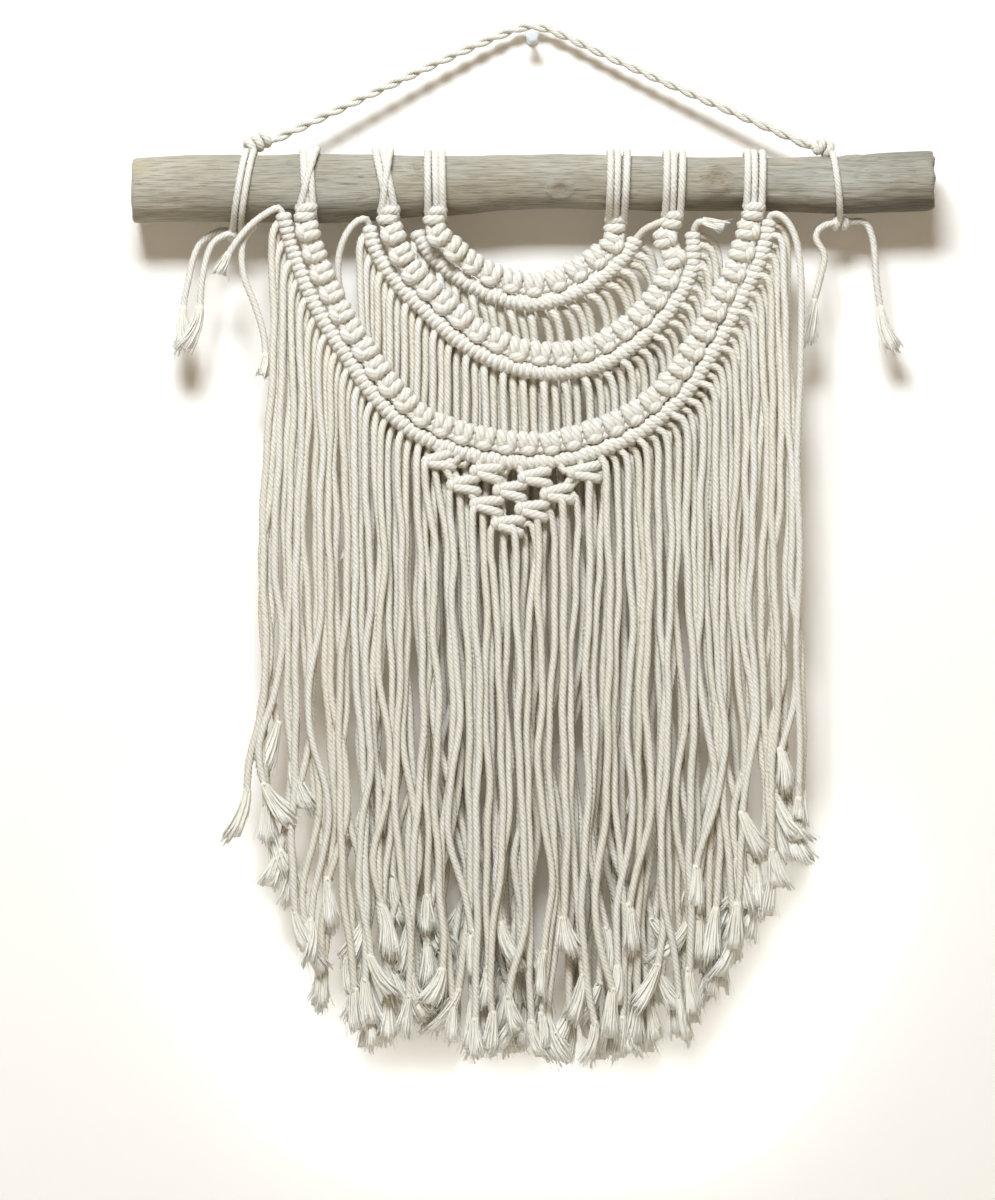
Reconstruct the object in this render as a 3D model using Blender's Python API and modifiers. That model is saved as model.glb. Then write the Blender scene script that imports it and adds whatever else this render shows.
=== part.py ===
"""Macrame wall hanging: three nested crescents of knotted cotton cord on a driftwood stick.

The stick hangs from a wall pin on a rope of two twisted cords. Six loops over the stick carry
three crescents. Each crescent is a sennit of square knots with a row of hitches along its outer
edge, and every hitch lets down one strand of the long fringe. Ten alternating square knots make
a small triangle under the outer crescent.

Places are given in the panel frame, in millimetres: across to the right, up, and out from the
wall towards the viewer. The origin is the middle of the pin, on the wall.
"""

import math

import bmesh
import bpy
import numpy as np
from mathutils import Matrix

MM = 0.001
PANEL_TO_WORLD = Matrix.Rotation(math.pi / 2, 4, "X")

# Driving dimensions, in millimetres
CORD = 3.8                    # diameter of the cotton cord
CLEARANCE = 0.3               # between two touching pieces
STRAND_RADIUS = 0.51 * CORD   # corner radius of a strand's three-sided section
BRUSH_FLARE = 1.45            # a frayed end's width, in widths of its strand
STICK_OUT = 24.0              # stick axis to wall
STICK_STEP = 36.0             # one length of the stick's surface
STICK_SIDES = 14
PIN_SIDES = 10
RING_SIDES = 10               # straight lengths in a strand's way round the stick
RING_LEAN = 4.0               # a tie's strands lean this far inwards on the stick's top
ROPE_RADIUS = CORD            # two cords twisted together
ROPE_LAY = 22.0               # one full turn of the twist
ROPE_STEPS = 6                # lengths of the rope's surface in one turn
ROPE_RIDGE = 0.16             # how far the two cords stand out of a round rope, as a share
TOP_KNOT_RADIUS = 4.6         # a tie's knot on top of the stick
UNDER_KNOT_RADIUS = 3.9       # a tie's knot below the stick, and a loop's gather knot
UNDER_KNOT_HALF_LENGTH = 6.0
KNOT_OVERHANG = 0.4           # a gather knot reaches this far past its strands
BARREL_DEPTH = 1.15           # a knot's depth, in heights
BAR_RADIUS = 4.1              # hitch bar over its ridges
BAR_VALLEY = 0.84             # hitch bar between two ridges, as a share
BAR_PITCH = 8.4               # one ridge of the hitch bar, three turns of cord
BAR_FADE = 14.0               # run over which a bar falls back from before the stick
SENNIT_FADE = 26.0            # the same for a sennit, from its two gather knots
SENNIT_HALF_WIDTH = 6.1       # square-knot sennit, in the plane of the wall
SENNIT_HALF_DEPTH = 4.4
SENNIT_VALLEY = 0.76          # sennit between two knots, as a share
SENNIT_TIP = 0.6              # sennit where it enters a gather knot
SENNIT_PITCH = 11.8           # one square knot
SENNIT_OFFSET = SENNIT_HALF_WIDTH + BAR_RADIUS + 0.5   # middle of a sennit to that of its bar
SENNIT_STEP = 8.0             # between the points that its middle line runs through
KNOT_BELOW = 4.85             # from the middle of a gather knot down to its sennit
KNOT_LEAD = 6.0               # a sennit's nearly straight start below that
KNOT_LEAN = 1.4               # and its lean towards the middle there
KNOT_HALF_DEPTH = 4.6         # gather knot, towards the stick
LAYER_STEP = 2.0              # a fringe's two layers lie this far before and behind its middle
LANE_PITCH = 3.5              # neighbouring strands hang no closer than this, across
ROOT_STEP = 1.2               # the same, inside the hitch bar
ROOT_SHARE = 0.55             # a strand leaves its bar this share of the way out from its fringe
STRAND_EXIT = 6.8             # length of a strand's first bend, off the bar
STRAND_BEND = 13.0            # further drop at which a strand has turned down
BEND_SHARE = 0.75             # share of its way sideways that it has gone by then
KNOT_EXIT = 5.44              # drop from the bar to a strand of the triangle's first free point
KNOT_TURN = 0.3               # share of its way to its first knot that it has gone by then
KNOT_DROP = 6.0               # from a strand's last knot to where it hangs free
LEVELS = (-225.0, -345.0, -465.0, -585.0)   # heights at which the strands bend, together
LEVEL_MARGIN = 20.0           # no bend this near a strand's top or tip
WANDER_START = 40.0           # drop over which the waves of the free length come in
HEM_BIAS = 2.2                # how strongly the tips keep to the lowest line, 1 for evenly spread
SPAN_SAMPLES = 24             # points worked out between two points of a route
WELD = 0.00002                # metres: corners closer than this are one

# Waves of a free strand: its neighbours' two share their lengths along and across, its own has one
#      height  length up  length across
WAVES = (
    (2.0, 31.0, 17.0),
    (1.2, 17.0, -23.0),
)
OWN_WAVE = (0.7, 24.0, 14.0)  # height, shortest length, and how much longer the longest is

# A wrapped knot's barrel: shares of its half-length and of its radius
#      along  radius
BARREL = (
    (-1.0, 0.62),
    (-0.5, 1.0),
    (0.0, 0.82),
    (0.5, 1.0),
    (1.0, 0.62),
)

# Driftwood stick: stations from left to right
#          across    up   radius
STICK = (
    (-214.7, -85.0, 17.2),
    (-179.0, -83.9, 17.8),
    (-140.0, -83.9, 18.0),
    (-98.0, -83.4, 18.2),
    (-44.0, -81.8, 15.6),
    (4.0, -79.8, 14.4),
    (58.0, -80.7, 14.4),
    (106.0, -81.2, 14.5),
    (160.0, -82.0, 14.8),
    (198.0, -81.6, 14.6),
    (215.3, -79.2, 15.3),
)

# Wall pin, a turned shape: distance from the wall and radius
#        out  radius
PIN = (
    (0.0, 3.4),
    (1.6, 3.4),
    (2.6, 1.5),
    (13.0, 1.5),
    (14.2, 3.1),
    (17.0, 3.4),
    (18.0, 2.6),
)

# Hanger rope from the left knot over the pin to the right knot
#        across    up    out
ROPE = (
    (-139.8, -56.7, 22.6),
    (-112.0, -43.2, 19.6),
    (-82.0, -28.6, 16.2),
    (-41.7, -9.2, 11.7),
    (-12.0, 3.7, 8.6),
    (0.0, 6.3, 8.0),
    (12.0, 3.7, 8.4),
    (40.9, -9.9, 11.2),
    (71.8, -24.3, 14.2),
    (134.2, -52.6, 20.3),
    (150.0, -60.0, 21.9),
)

# Hitch bars of the three crescents, left end to right end
#        across     up
OUTER_BAR = (
    (-133.7, -98.0),
    (-128.6, -117.0),
    (-116.5, -146.9),
    (-100.3, -173.5),
    (-81.5, -199.5),
    (-59.4, -217.5),
    (-28.2, -228.3),
    (-0.3, -231.3),
    (28.2, -227.0),
    (57.3, -215.0),
    (80.4, -196.0),
    (97.1, -171.6),
    (111.6, -144.7),
    (122.2, -122.0),
    (127.2, -101.5),
)
MIDDLE_BAR = (
    (-87.6, -104.5),
    (-84.6, -116.0),
    (-73.4, -133.4),
    (-56.2, -151.0),
    (-36.9, -167.5),
    (-15.0, -178.3),
    (8.9, -182.9),
    (35.8, -178.6),
    (59.4, -164.1),
    (76.5, -145.5),
    (85.6, -127.0),
    (86.2, -107.6),
)
INNER_BAR = (
    (-62.1, -107.0),
    (-54.1, -119.0),
    (-41.0, -130.2),
    (-21.0, -140.8),
    (1.0, -145.3),
    (25.0, -138.5),
    (46.0, -124.0),
    (56.0, -110.5),
)

# Crescents. band: bar and sennit to wall. hang: middle of the two fringe layers to wall.
# end: left end of the bar to wall, where it may lie before the stick.
#  name      bar         strands  band  hang   end  knots it hangs from
CRESCENTS = (
    ("outer", OUTER_BAR, 74, 38.0, 38.0, 42.0, ("outer_left", "outer_right")),
    ("middle", MIDDLE_BAR, 48, 32.0, 29.4, 33.0, ("middle_left", "middle_right")),
    ("inner", INNER_BAR, 28, 25.5, 21.2, 25.5, ("inner_left", "inner_right")),
)

# Loops over the stick, each of three strands gathered by a knot
#    name          knot across  up     length  tilt   strands at the top, and at the knot
LOOPS = (
    ("outer_left", -121.3, -97.1, 10.5, 5.0, (-123.6, -119.6, -115.8), (-124.4, -120.4, -116.4)),
    ("middle_left", -76.1, -98.2, 11.0, 5.0, (-84.4, -79.8, -76.0), (-80.6, -76.4, -72.4)),
    ("inner_left", -51.4, -98.2, 11.0, 5.0, (-56.4, -52.4, -48.6), (-56.2, -51.2, -47.2)),
    ("inner_right", 44.1, -102.0, 10.5, 5.0, (42.0, 46.4, 51.0), (41.0, 44.8, 49.8)),
    ("middle_right", 72.6, -100.3, 12.0, -4.0, (72.2, 76.2, 80.6), (71.2, 75.0, 79.6)),
    ("outer_right", 116.5, -96.2, 10.8, -4.0, (115.6, 119.6, 123.6), (114.4, 118.6, 123.0)),
)

# Ties at the stick's two ends, where the rope's cords are knotted round it
#    name    top knot    under knot      slope  rings            knot's half-length
TIES = (
    ("left", (-148.0, -58.6), (-159.5, -108.0), 29.0, (-1.95, 1.95), 7.6),
    ("right", (157.4, -61.3), (166.0, -101.9), -22.0, (0.0,), 6.6),
)

# Loose tails below the ties. Their ends are frayed.
#  across     up     out
TAILS = {
    "left": (
        ((-159.0, -108.0, 20.5), (-168.5, -105.5, 19.0), (-180.5, -114.0, 18.0),
         (-186.5, -135.0, 18.0), (-189.1, -152.0, 18.0), (-189.3, -177.0, 18.0)),
        ((-159.5, -108.5, 26.5), (-165.5, -108.5, 28.0), (-173.0, -114.5, 28.0),
         (-177.5, -130.0, 28.0), (-179.0, -147.0, 28.0), (-179.2, -176.0, 28.0)),
    ),
    "right": (
        ((164.0, -101.5, 26.0), (156.0, -104.0, 27.0), (152.8, -110.0, 27.0), (157.2, -119.0, 27.0),
         (156.1, -127.5, 27.0), (150.9, -148.0, 27.0), (146.5, -172.0, 27.0)),
        ((168.5, -101.0, 22.0), (179.0, -101.2, 22.0), (183.3, -109.0, 22.0), (184.8, -119.4, 22.0),
         (185.9, -134.5, 22.0), (188.6, -152.0, 22.0), (190.4, -176.0, 22.0)),
    ),
}

# Cut ends of the cords that run inside the hitch bars
#  across     up     out
CUT_ENDS = {
    "outer": (
        ((-133.5, -99.0, 42.0), (-137.0, -95.2, 43.4), (-148.8, -102.5, 43.6),
         (-158.0, -112.5, 43.2), (-164.5, -123.0, 42.4), (-170.5, -135.0, 41.0)),
        ((127.1, -102.5, 38.0), (129.5, -98.0, 42.0), (136.4, -103.4, 44.0),
         (142.5, -117.5, 44.0), (146.0, -136.0, 44.0)),
    ),
    "middle": (
        ((86.2, -108.5, 32.0), (89.0, -102.4, 37.0), (98.5, -103.6, 41.5), (107.0, -108.0, 42.0)),
    ),
    "inner": (),
}

# Triangle of alternating square knots under the outer crescent, four strands in each
#   across     up   first of its four strands
TRIANGLE = (
    (-50.3, -230.4, 0),
    (-24.5, -236.6, 4),
    (1.3, -239.2, 8),
    (27.7, -236.4, 12),
    (-36.9, -243.2, 2),
    (-12.1, -246.4, 6),
    (13.2, -248.0, 10),
    (-24.5, -254.2, 4),
    (-0.3, -256.6, 8),
    (-13.2, -264.6, 6),
)
TRIANGLE_STRANDS = 16
TRIANGLE_PITCH = 3.6              # neighbouring strands inside a knot
TRIANGLE_KNOT = (8.2, 3.5, 4.1)   # half-length, half-height and half-depth

# Lowest reach of the fringe's tips
#    across    up
HEM = (
    (-160.0, -432.0),
    (-150.0, -452.0),
    (-138.5, -468.0),
    (-117.0, -530.0),
    (-88.0, -551.0),
    (-60.5, -541.0),
    (-33.6, -556.0),
    (14.8, -560.0),
    (49.8, -558.0),
    (79.4, -547.0),
    (100.9, -520.0),
    (122.4, -488.0),
    (146.0, -440.0),
)
HEM_SCATTER = 42.0            # the shortest strands end this far above the lowest


def clear_scene():
    """Remove every object and collection of the scene."""
    for item in list(bpy.data.objects):
        bpy.data.objects.remove(item, do_unlink=True)
    for group in list(bpy.data.collections):
        bpy.data.collections.remove(group)


def new_collection(name):
    """Add a collection to the scene."""
    group = bpy.data.collections.new(name)
    bpy.context.scene.collection.children.link(group)
    return group


def new_material(name, colour, roughness, alpha=1.0):
    """Principled material in one colour."""
    material = bpy.data.materials.new(name)
    material.use_nodes = True
    shader = material.node_tree.nodes["Principled BSDF"]
    shader.inputs["Base Color"].default_value = (*colour, 1.0)
    shader.inputs["Roughness"].default_value = roughness
    shader.inputs["Metallic"].default_value = 0.0
    shader.inputs["Alpha"].default_value = alpha
    return material


def scatter(number, stream):
    """Even but unordered value from 0 to 1 for each whole number."""
    return (number * 0.6180339887 + stream * 0.7548776662) % 1.0


def smooth_route(points, step):
    """Points every step or so along the Catmull-Rom curve through the given points."""
    knots = np.array(points, dtype=float)
    ends = np.vstack([2 * knots[0] - knots[1], knots, 2 * knots[-1] - knots[-2]])
    t = np.linspace(0.0, 1.0, SPAN_SAMPLES, endpoint=False)[:, None]
    pieces = []
    for i in range(len(knots) - 1):
        a, b, c, d = ends[i], ends[i + 1], ends[i + 2], ends[i + 3]
        pieces.append(0.5 * (2 * b + (c - a) * t + (2 * a - 5 * b + 4 * c - d) * t ** 2
                             + (3 * b - a - 3 * c + d) * t ** 3))
    fine = np.vstack(pieces + [knots[-1:]])
    run = np.concatenate([[0.0], np.cumsum(np.linalg.norm(np.diff(fine, axis=0), axis=1))])
    count = max(2, int(round(run[-1] / step)) + 1)
    stops = np.linspace(0.0, run[-1], count)
    return np.stack([np.interp(stops, run, fine[:, k]) for k in range(fine.shape[1])], axis=1)


def section(name, sides, wide=1.0, deep=1.0, turn=0.0, lobes=0.0):
    """Closed outline that a sweep carries along its route: an ellipse of a few sides."""
    curve = bpy.data.curves.new(name, "CURVE")
    curve.dimensions = "2D"
    spline = curve.splines.new("POLY")
    spline.points.add(sides - 1)
    spline.use_cyclic_u = True
    for i, point in enumerate(spline.points):
        angle = turn + 2 * math.pi * i / sides
        reach = 1.0 + lobes * math.cos(2 * angle)
        point.co = (wide * reach * math.cos(angle), deep * reach * math.sin(angle), 0.0, 1.0)
    outline = bpy.data.objects.new(name, curve)
    cutters.objects.link(outline)
    outline.hide_render = True
    outline.display_type = "WIRE"
    return outline


def sweep(name, routes, outline, group, twist="Z_UP"):
    """Mesh of an outline carried along routes of (points, radii, turns, closed)."""
    curve = bpy.data.curves.new(name + "_route", "CURVE")
    curve.dimensions = "3D"
    curve.twist_mode = twist
    curve.bevel_mode = "OBJECT"
    curve.bevel_object = outline
    curve.use_fill_caps = True
    for points, radii, turns, closed in routes:
        spline = curve.splines.new("POLY")
        spline.points.add(len(points) - 1)
        spline.use_cyclic_u = closed
        for i, point in enumerate(spline.points):
            point.co = (*(np.asarray(points[i]) * MM), 1.0)
            point.radius = radii[i] * MM
            point.tilt = turns[i]
    guide = bpy.data.objects.new(name + "_route", curve)
    guide.matrix_world = PANEL_TO_WORLD
    cutters.objects.link(guide)
    bpy.context.view_layer.update()
    evaluated = guide.evaluated_get(bpy.context.evaluated_depsgraph_get())
    mesh = bpy.data.meshes.new_from_object(evaluated)
    mesh.name = name
    piece = bpy.data.objects.new(name, mesh)
    piece.matrix_world = guide.matrix_world
    bpy.data.objects.remove(guide, do_unlink=True)
    shell = bmesh.new()
    shell.from_mesh(mesh)
    bmesh.ops.remove_doubles(shell, verts=shell.verts, dist=WELD)
    bmesh.ops.recalc_face_normals(shell, faces=shell.faces)
    shell.to_mesh(mesh)
    shell.free()
    group.objects.link(piece)
    return piece


def even(points, radius=1.0, closed=False):
    """Route of one radius with no twist."""
    return (points, [radius] * len(points), [0.0] * len(points), closed)


def frayed(points):
    """Route of a strand whose last stretch opens into a brush."""
    radii = [STRAND_RADIUS] * (len(points) - 1) + [BRUSH_FLARE * STRAND_RADIUS]
    return (points, radii, [0.0] * len(points), False)


def fuse(piece, other):
    """Boolean union of a piece with a helper, which is kept among the cutters."""
    union = piece.modifiers.new("fuse_" + other.name, "BOOLEAN")
    union.operation = "UNION"
    union.solver = "EXACT"
    union.object = other
    other.hide_render = True
    other.display_type = "WIRE"


def knot_route(across, up, out, half_length, half_height, slope):
    """Short barrel with two ridges: cord wrapped round cords."""
    direction = np.array([math.cos(math.radians(slope)), math.sin(math.radians(slope)), 0.0])
    centre = np.array([across, up, out])
    points = [centre + direction * half_length * along for along, _ in BARREL]
    radii = [half_height * reach for _, reach in BARREL]
    return (points, radii, [0.0] * len(points), False)


def stick_at(across):
    """Height and radius of the stick at a place along it."""
    stations = np.array(STICK)
    return (np.interp(across, stations[:, 0], stations[:, 1]),
            np.interp(across, stations[:, 0], stations[:, 2]))


def ring_route(knot_up, knot_out, across_at_knot, across_at_top):
    """Cord round the stick, drawn down to its knot: a circle with two tangents to one point."""
    up, radius = stick_at(across_at_top)
    around = (radius + CLEARANCE + CORD / 2) / math.cos(math.pi / RING_SIDES)
    drop, lead = knot_up - up, knot_out - STICK_OUT
    reach = math.hypot(drop, lead)
    start = math.atan2(drop, lead)
    tangent = math.acos(min(1.0, around / reach))
    points = []
    for i in range(RING_SIDES):
        away = 2 * math.pi * i / RING_SIDES
        near = min(away, 2 * math.pi - away)
        distance = around / math.cos(max(0.0, tangent - near))
        height = up + distance * math.sin(start + away)
        rise = (height - knot_up) / (up + around - knot_up)
        across = across_at_knot + (across_at_top - across_at_knot) * rise
        points.append((across, height, STICK_OUT + distance * math.cos(start + away)))
    return even(points, CORD / 2, True)


def make_stick():
    """Driftwood stick: sawn ends, thicker at the left."""
    round_outline = section("stick_outline", STICK_SIDES)
    stations = smooth_route(STICK, STICK_STEP)
    points = [(across, up, STICK_OUT) for across, up, _ in stations]
    turns = [0.0] * len(points)
    stick = sweep("driftwood_stick", [(points, list(stations[:, 2]), turns, False)],
                  round_outline, parts)
    stick.data.materials.append(wood)


def make_pin():
    """Clear push pin: collar on the wall, slim waist and round head, turned about its axis."""
    mesh = bpy.data.meshes.new("wall_pin")
    profile = bmesh.new()
    rim = [profile.verts.new((radius * MM, 0.0, out * MM)) for out, radius in reversed(PIN)]
    rim.insert(0, profile.verts.new((0.0, 0.0, PIN[-1][0] * MM)))
    rim.append(profile.verts.new((0.0, 0.0, 0.0)))
    for first, second in zip(rim, rim[1:]):
        profile.edges.new((first, second))
    profile.to_mesh(mesh)
    profile.free()
    pin = bpy.data.objects.new("wall_pin", mesh)
    parts.objects.link(pin)
    pin.matrix_world = PANEL_TO_WORLD
    turning = pin.modifiers.new("turned", "SCREW")
    turning.axis = "Z"
    turning.steps = PIN_SIDES
    turning.render_steps = PIN_SIDES
    turning.use_merge_vertices = True
    turning.merge_threshold = WELD / 2
    pin.data.materials.append(clear)


def make_rope():
    """Hanger rope: two cords laid together, one round ridge for each."""
    points = smooth_route(ROPE, ROPE_LAY / ROPE_STEPS)
    turns = [2 * math.pi * i / ROPE_STEPS for i in range(len(points))]
    rope = sweep("hanger_rope", [(points, [ROPE_RADIUS] * len(points), turns, False)],
                 rope_outline, parts)
    rope.data.materials.append(cotton)


def make_ties():
    """Knots that hold the rope to the stick's two ends, with their rings and loose tails."""
    for name, top, under, slope, rings, half_length in TIES:
        routes = []
        for shift in rings:
            high = top[0] + shift - RING_LEAN * np.sign(slope)
            routes.append(ring_route(under[1], STICK_OUT, under[0] + shift, high))
        tie = sweep("tie_" + name, routes, strand_outline, parts, "MINIMUM")
        knots = [knot_route(top[0], top[1], STICK_OUT, half_length, TOP_KNOT_RADIUS, slope),
                 knot_route(under[0], under[1], STICK_OUT, UNDER_KNOT_HALF_LENGTH,
                            UNDER_KNOT_RADIUS, 0.0)]
        fuse(tie, sweep("knots_" + name, knots, barrel_outline, cutters))
        tails = [frayed(points) for points in TAILS[name]]
        fuse(tie, sweep("tails_" + name, tails, strand_outline, cutters))
        tie.data.materials.append(cotton)


def knot_places():
    """Middle of each gather knot, just in front of the stick or below it."""
    bands = {}
    for _, _, _, band, _, _, knots in CRESCENTS:
        for knot in knots:
            bands[knot] = band
    places = {}
    for name, across, up, _, _, _, _ in LOOPS:
        stick_up, radius = stick_at(across)
        clear_of_stick = (radius + CLEARANCE + KNOT_HALF_DEPTH) ** 2 - (up - stick_up) ** 2
        out = STICK_OUT + math.sqrt(max(0.0, clear_of_stick))
        places[name] = (across, up, max(out, bands[name]))
    return places


def make_loops(places):
    """Three strands over the stick, gathered by a knot that carries one end of a crescent."""
    for name, across, up, length, slope, at_top, at_knot in LOOPS:
        out = places[name][2]
        routes = [ring_route(up, out, low, high) for high, low in zip(at_top, at_knot)]
        loop = sweep("loop_" + name, routes, strand_outline, parts, "MINIMUM")
        half_spread = (max(at_knot) - min(at_knot) + CORD) / 2
        half_length = max(length / 2, half_spread + KNOT_OVERHANG)
        middle = (max(at_knot) + min(at_knot)) / 2
        knot = knot_route(middle, up, out, half_length, UNDER_KNOT_RADIUS, slope)
        fuse(loop, sweep("knot_" + name, [knot], barrel_outline, cutters))
        loop.data.materials.append(cotton)


def normals(line):
    """Unit normals of a flat route, pointing out of the crescent (down in its middle)."""
    slope = np.gradient(line, axis=0)
    across, up = slope[:, 0], slope[:, 1]
    turned = np.stack([up, -across], axis=1)
    return turned / np.linalg.norm(turned, axis=1)[:, None]


def band_out(line, band, left, right, fade):
    """Distance from the wall along a band, which starts and ends at places of its own."""
    run = np.concatenate([[0.0], np.cumsum(np.linalg.norm(np.diff(line, axis=0), axis=1))])
    return (band + (left - band) * np.exp(-(run / fade) ** 2)
            + (right - band) * np.exp(-((run[-1] - run) / fade) ** 2))


def make_sennit(name, bar, band, left, right):
    """Sennit of square knots along the inner edge of a crescent, from knot to knot."""
    line = smooth_route(bar, SENNIT_STEP)
    inner = line - normals(line) * SENNIT_OFFSET
    lead = KNOT_BELOW + KNOT_LEAD
    down = [(left[0], left[1] - KNOT_BELOW), (left[0] + KNOT_LEAN, left[1] - lead)]
    back_up = [(right[0] - KNOT_LEAN, right[1] - lead), (right[0], right[1] - KNOT_BELOW)]
    highest = min(down[1][1], back_up[0][1]) - KNOT_LEAD
    keep = [point for point in inner if point[1] < highest]
    route = smooth_route(down + keep + back_up, SENNIT_PITCH / 2)
    out = band_out(route, band, left[2], right[2], SENNIT_FADE)
    points = np.column_stack([route, out])
    radii = [1.0 if i % 2 else SENNIT_VALLEY for i in range(len(points))]
    radii[0] = radii[-1] = SENNIT_TIP
    sennit = sweep("sennit_" + name, [(points, radii, [0.0] * len(points), False)],
                   sennit_outline, parts)
    sennit.data.materials.append(cotton)


def hem_at(across, number):
    """Height of a strand's tip."""
    reach = np.array(HEM)
    lowest = np.interp(across, reach[:, 0], reach[:, 1])
    return lowest + HEM_SCATTER * scatter(number, 3) ** HEM_BIAS


def sway(across, up, drop, number):
    """Sideways wave of a free strand: shared with its neighbours, and a little its own."""
    grow = min(1.0, max(0.0, drop / WANDER_START)) ** 1.5
    shared = sum(height * math.sin(up / length + across / side) for height, length, side in WAVES)
    height, shortest, longer = OWN_WAVE
    phase = 2 * math.pi * scatter(number, 7)
    own = height * math.sin(up / (shortest + longer * scatter(number, 5)) + phase)
    return grow * (shared + own)


def strand_points(root, away, band, hang, lane, number, stops):
    """Points of one strand, from inside its hitch, through any knots, to its tip."""
    side = 1.0 if number % 2 == 0 else -1.0
    middle = hang + ROOT_SHARE * (band - hang)
    points = [(root[0], root[1], band + side * ROOT_STEP)]
    if stops:
        leave = root[0] + KNOT_TURN * (stops[0][0] - root[0])
        points.append((leave, root[1] - KNOT_EXIT, hang + side * LAYER_STEP))
        for across, up in stops:
            points.append((across, up, hang + side * LAYER_STEP))
        start = np.array(stops[-1]) - (0.0, KNOT_DROP)
    else:
        start = np.array(root) + np.array(away) * STRAND_EXIT
        points.append((start[0], start[1], middle + side * LAYER_STEP))
    out = hang + side * LAYER_STEP
    top = start[1] - STRAND_BEND
    tip = hem_at(lane, number)
    points.append((start[0] + BEND_SHARE * (lane - start[0]), top, out))
    waves = [lane + sway(lane, level, top - level, number) for level in LEVELS]
    bends = [level for level in LEVELS if tip + LEVEL_MARGIN < level < top - LEVEL_MARGIN]
    for height in bends + [tip]:
        across = np.interp(-height, [-level for level in LEVELS], waves)
        points.append((across, height, out))
    return points


def triangle_stops(number):
    """Places where a strand passes through the triangle's knots, top to bottom."""
    stops = []
    for across, up, first in TRIANGLE:
        seat = number - first
        if 0 <= seat < 4:
            stops.append((across + (seat - 1.5) * TRIANGLE_PITCH, up))
    return stops


def spread_lanes(across):
    """Places where strands hang: under their hitches, but pushed apart near the bar's ends."""
    lanes = list(across)
    middle = len(lanes) // 2
    for i in range(middle - 1, -1, -1):
        lanes[i] = min(lanes[i], lanes[i + 1] - LANE_PITCH)
    for i in range(middle + 1, len(lanes)):
        lanes[i] = max(lanes[i], lanes[i - 1] + LANE_PITCH)
    return lanes


def make_fringe(name, bar, count, band, hang, end):
    """Hitch bar of a crescent with one strand let down from each of its hitches."""
    line = smooth_route(bar, 1.0)
    away = normals(line)
    run = np.linspace(0.0, 1.0, len(line))
    out = band_out(line, band, end, band, BAR_FADE)
    core = smooth_route(bar, BAR_PITCH / 2)
    core = np.column_stack([core, band_out(core, band, end, band, BAR_FADE)])
    radii = [BAR_RADIUS * (1.0 if i % 2 else BAR_VALLEY) for i in range(len(core))]
    fringe = sweep("fringe_" + name, [(core, radii, [0.0] * len(core), False)],
                   bar_outline, parts)
    roots = []
    for number in range(count):
        at = (number + 0.5) / count
        roots.append([np.interp(at, run, values)
                      for values in (line[:, 0], line[:, 1], away[:, 0], away[:, 1], out)])
    first = 0
    if name == "outer":
        middle = sum(across for across, _, _ in TRIANGLE[:4]) / 4
        nearest = int(np.argmin([abs(root[0] - middle) for root in roots]))
        first = nearest - TRIANGLE_STRANDS // 2 + 1
    routes = []
    lanes = spread_lanes([root[0] for root in roots])
    for number, (across, up, away_across, away_up, root_out) in enumerate(roots):
        knots = []
        if name == "outer" and 0 <= number - first < TRIANGLE_STRANDS:
            knots = triangle_stops(number - first)
        points = strand_points((across, up), (away_across, away_up), root_out, hang,
                               lanes[number], number, knots)
        routes.append(even(points, STRAND_RADIUS))
    for points in CUT_ENDS[name]:
        routes.append(even(points, STRAND_RADIUS))
    fuse(fringe, sweep("strands_" + name, routes, strand_outline, cutters))
    if name == "outer":
        half_length, half_height, half_depth = TRIANGLE_KNOT
        knots = [knot_route(across, up, hang, half_length, half_height, 0.0)
                 for across, up, _ in TRIANGLE]
        fuse(fringe, sweep("triangle_knots", knots, barrel_outline, cutters))
    fringe.data.materials.append(cotton)


clear_scene()
parts = new_collection("macrame_wall_hanging")
cutters = new_collection("cutters")
cotton = new_material("cotton_cord", (0.83, 0.79, 0.70), 0.9)
wood = new_material("driftwood", (0.38, 0.34, 0.28), 0.85)
clear = new_material("clear_plastic", (0.86, 0.91, 0.94), 0.15, 0.6)

strand_outline = section("strand_outline", 3, turn=math.pi / 2)
bar_outline = section("bar_outline", 6)
barrel_outline = section("barrel_outline", 6, 1.0, BARREL_DEPTH)
sennit_outline = section("sennit_outline", 6, SENNIT_HALF_WIDTH, SENNIT_HALF_DEPTH)
rope_outline = section("rope_outline", 6, lobes=ROPE_RIDGE)

make_stick()
make_pin()
make_rope()
make_ties()
knots_at = knot_places()
make_loops(knots_at)
for crescent, bar, count, band, hang, end, knots in CRESCENTS:
    make_sennit(crescent, bar, band, knots_at[knots[0]], knots_at[knots[1]])
    make_fringe(crescent, bar, count, band, hang, end)
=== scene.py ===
"""Macrame wall hanging: cotton cord, knotted in three crescents, on a driftwood stick.

Places are given in the panel frame, in millimetres: across to the right, up, and out from the
wall towards the viewer, from the middle of the pin on the wall.
"""

import math

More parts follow.
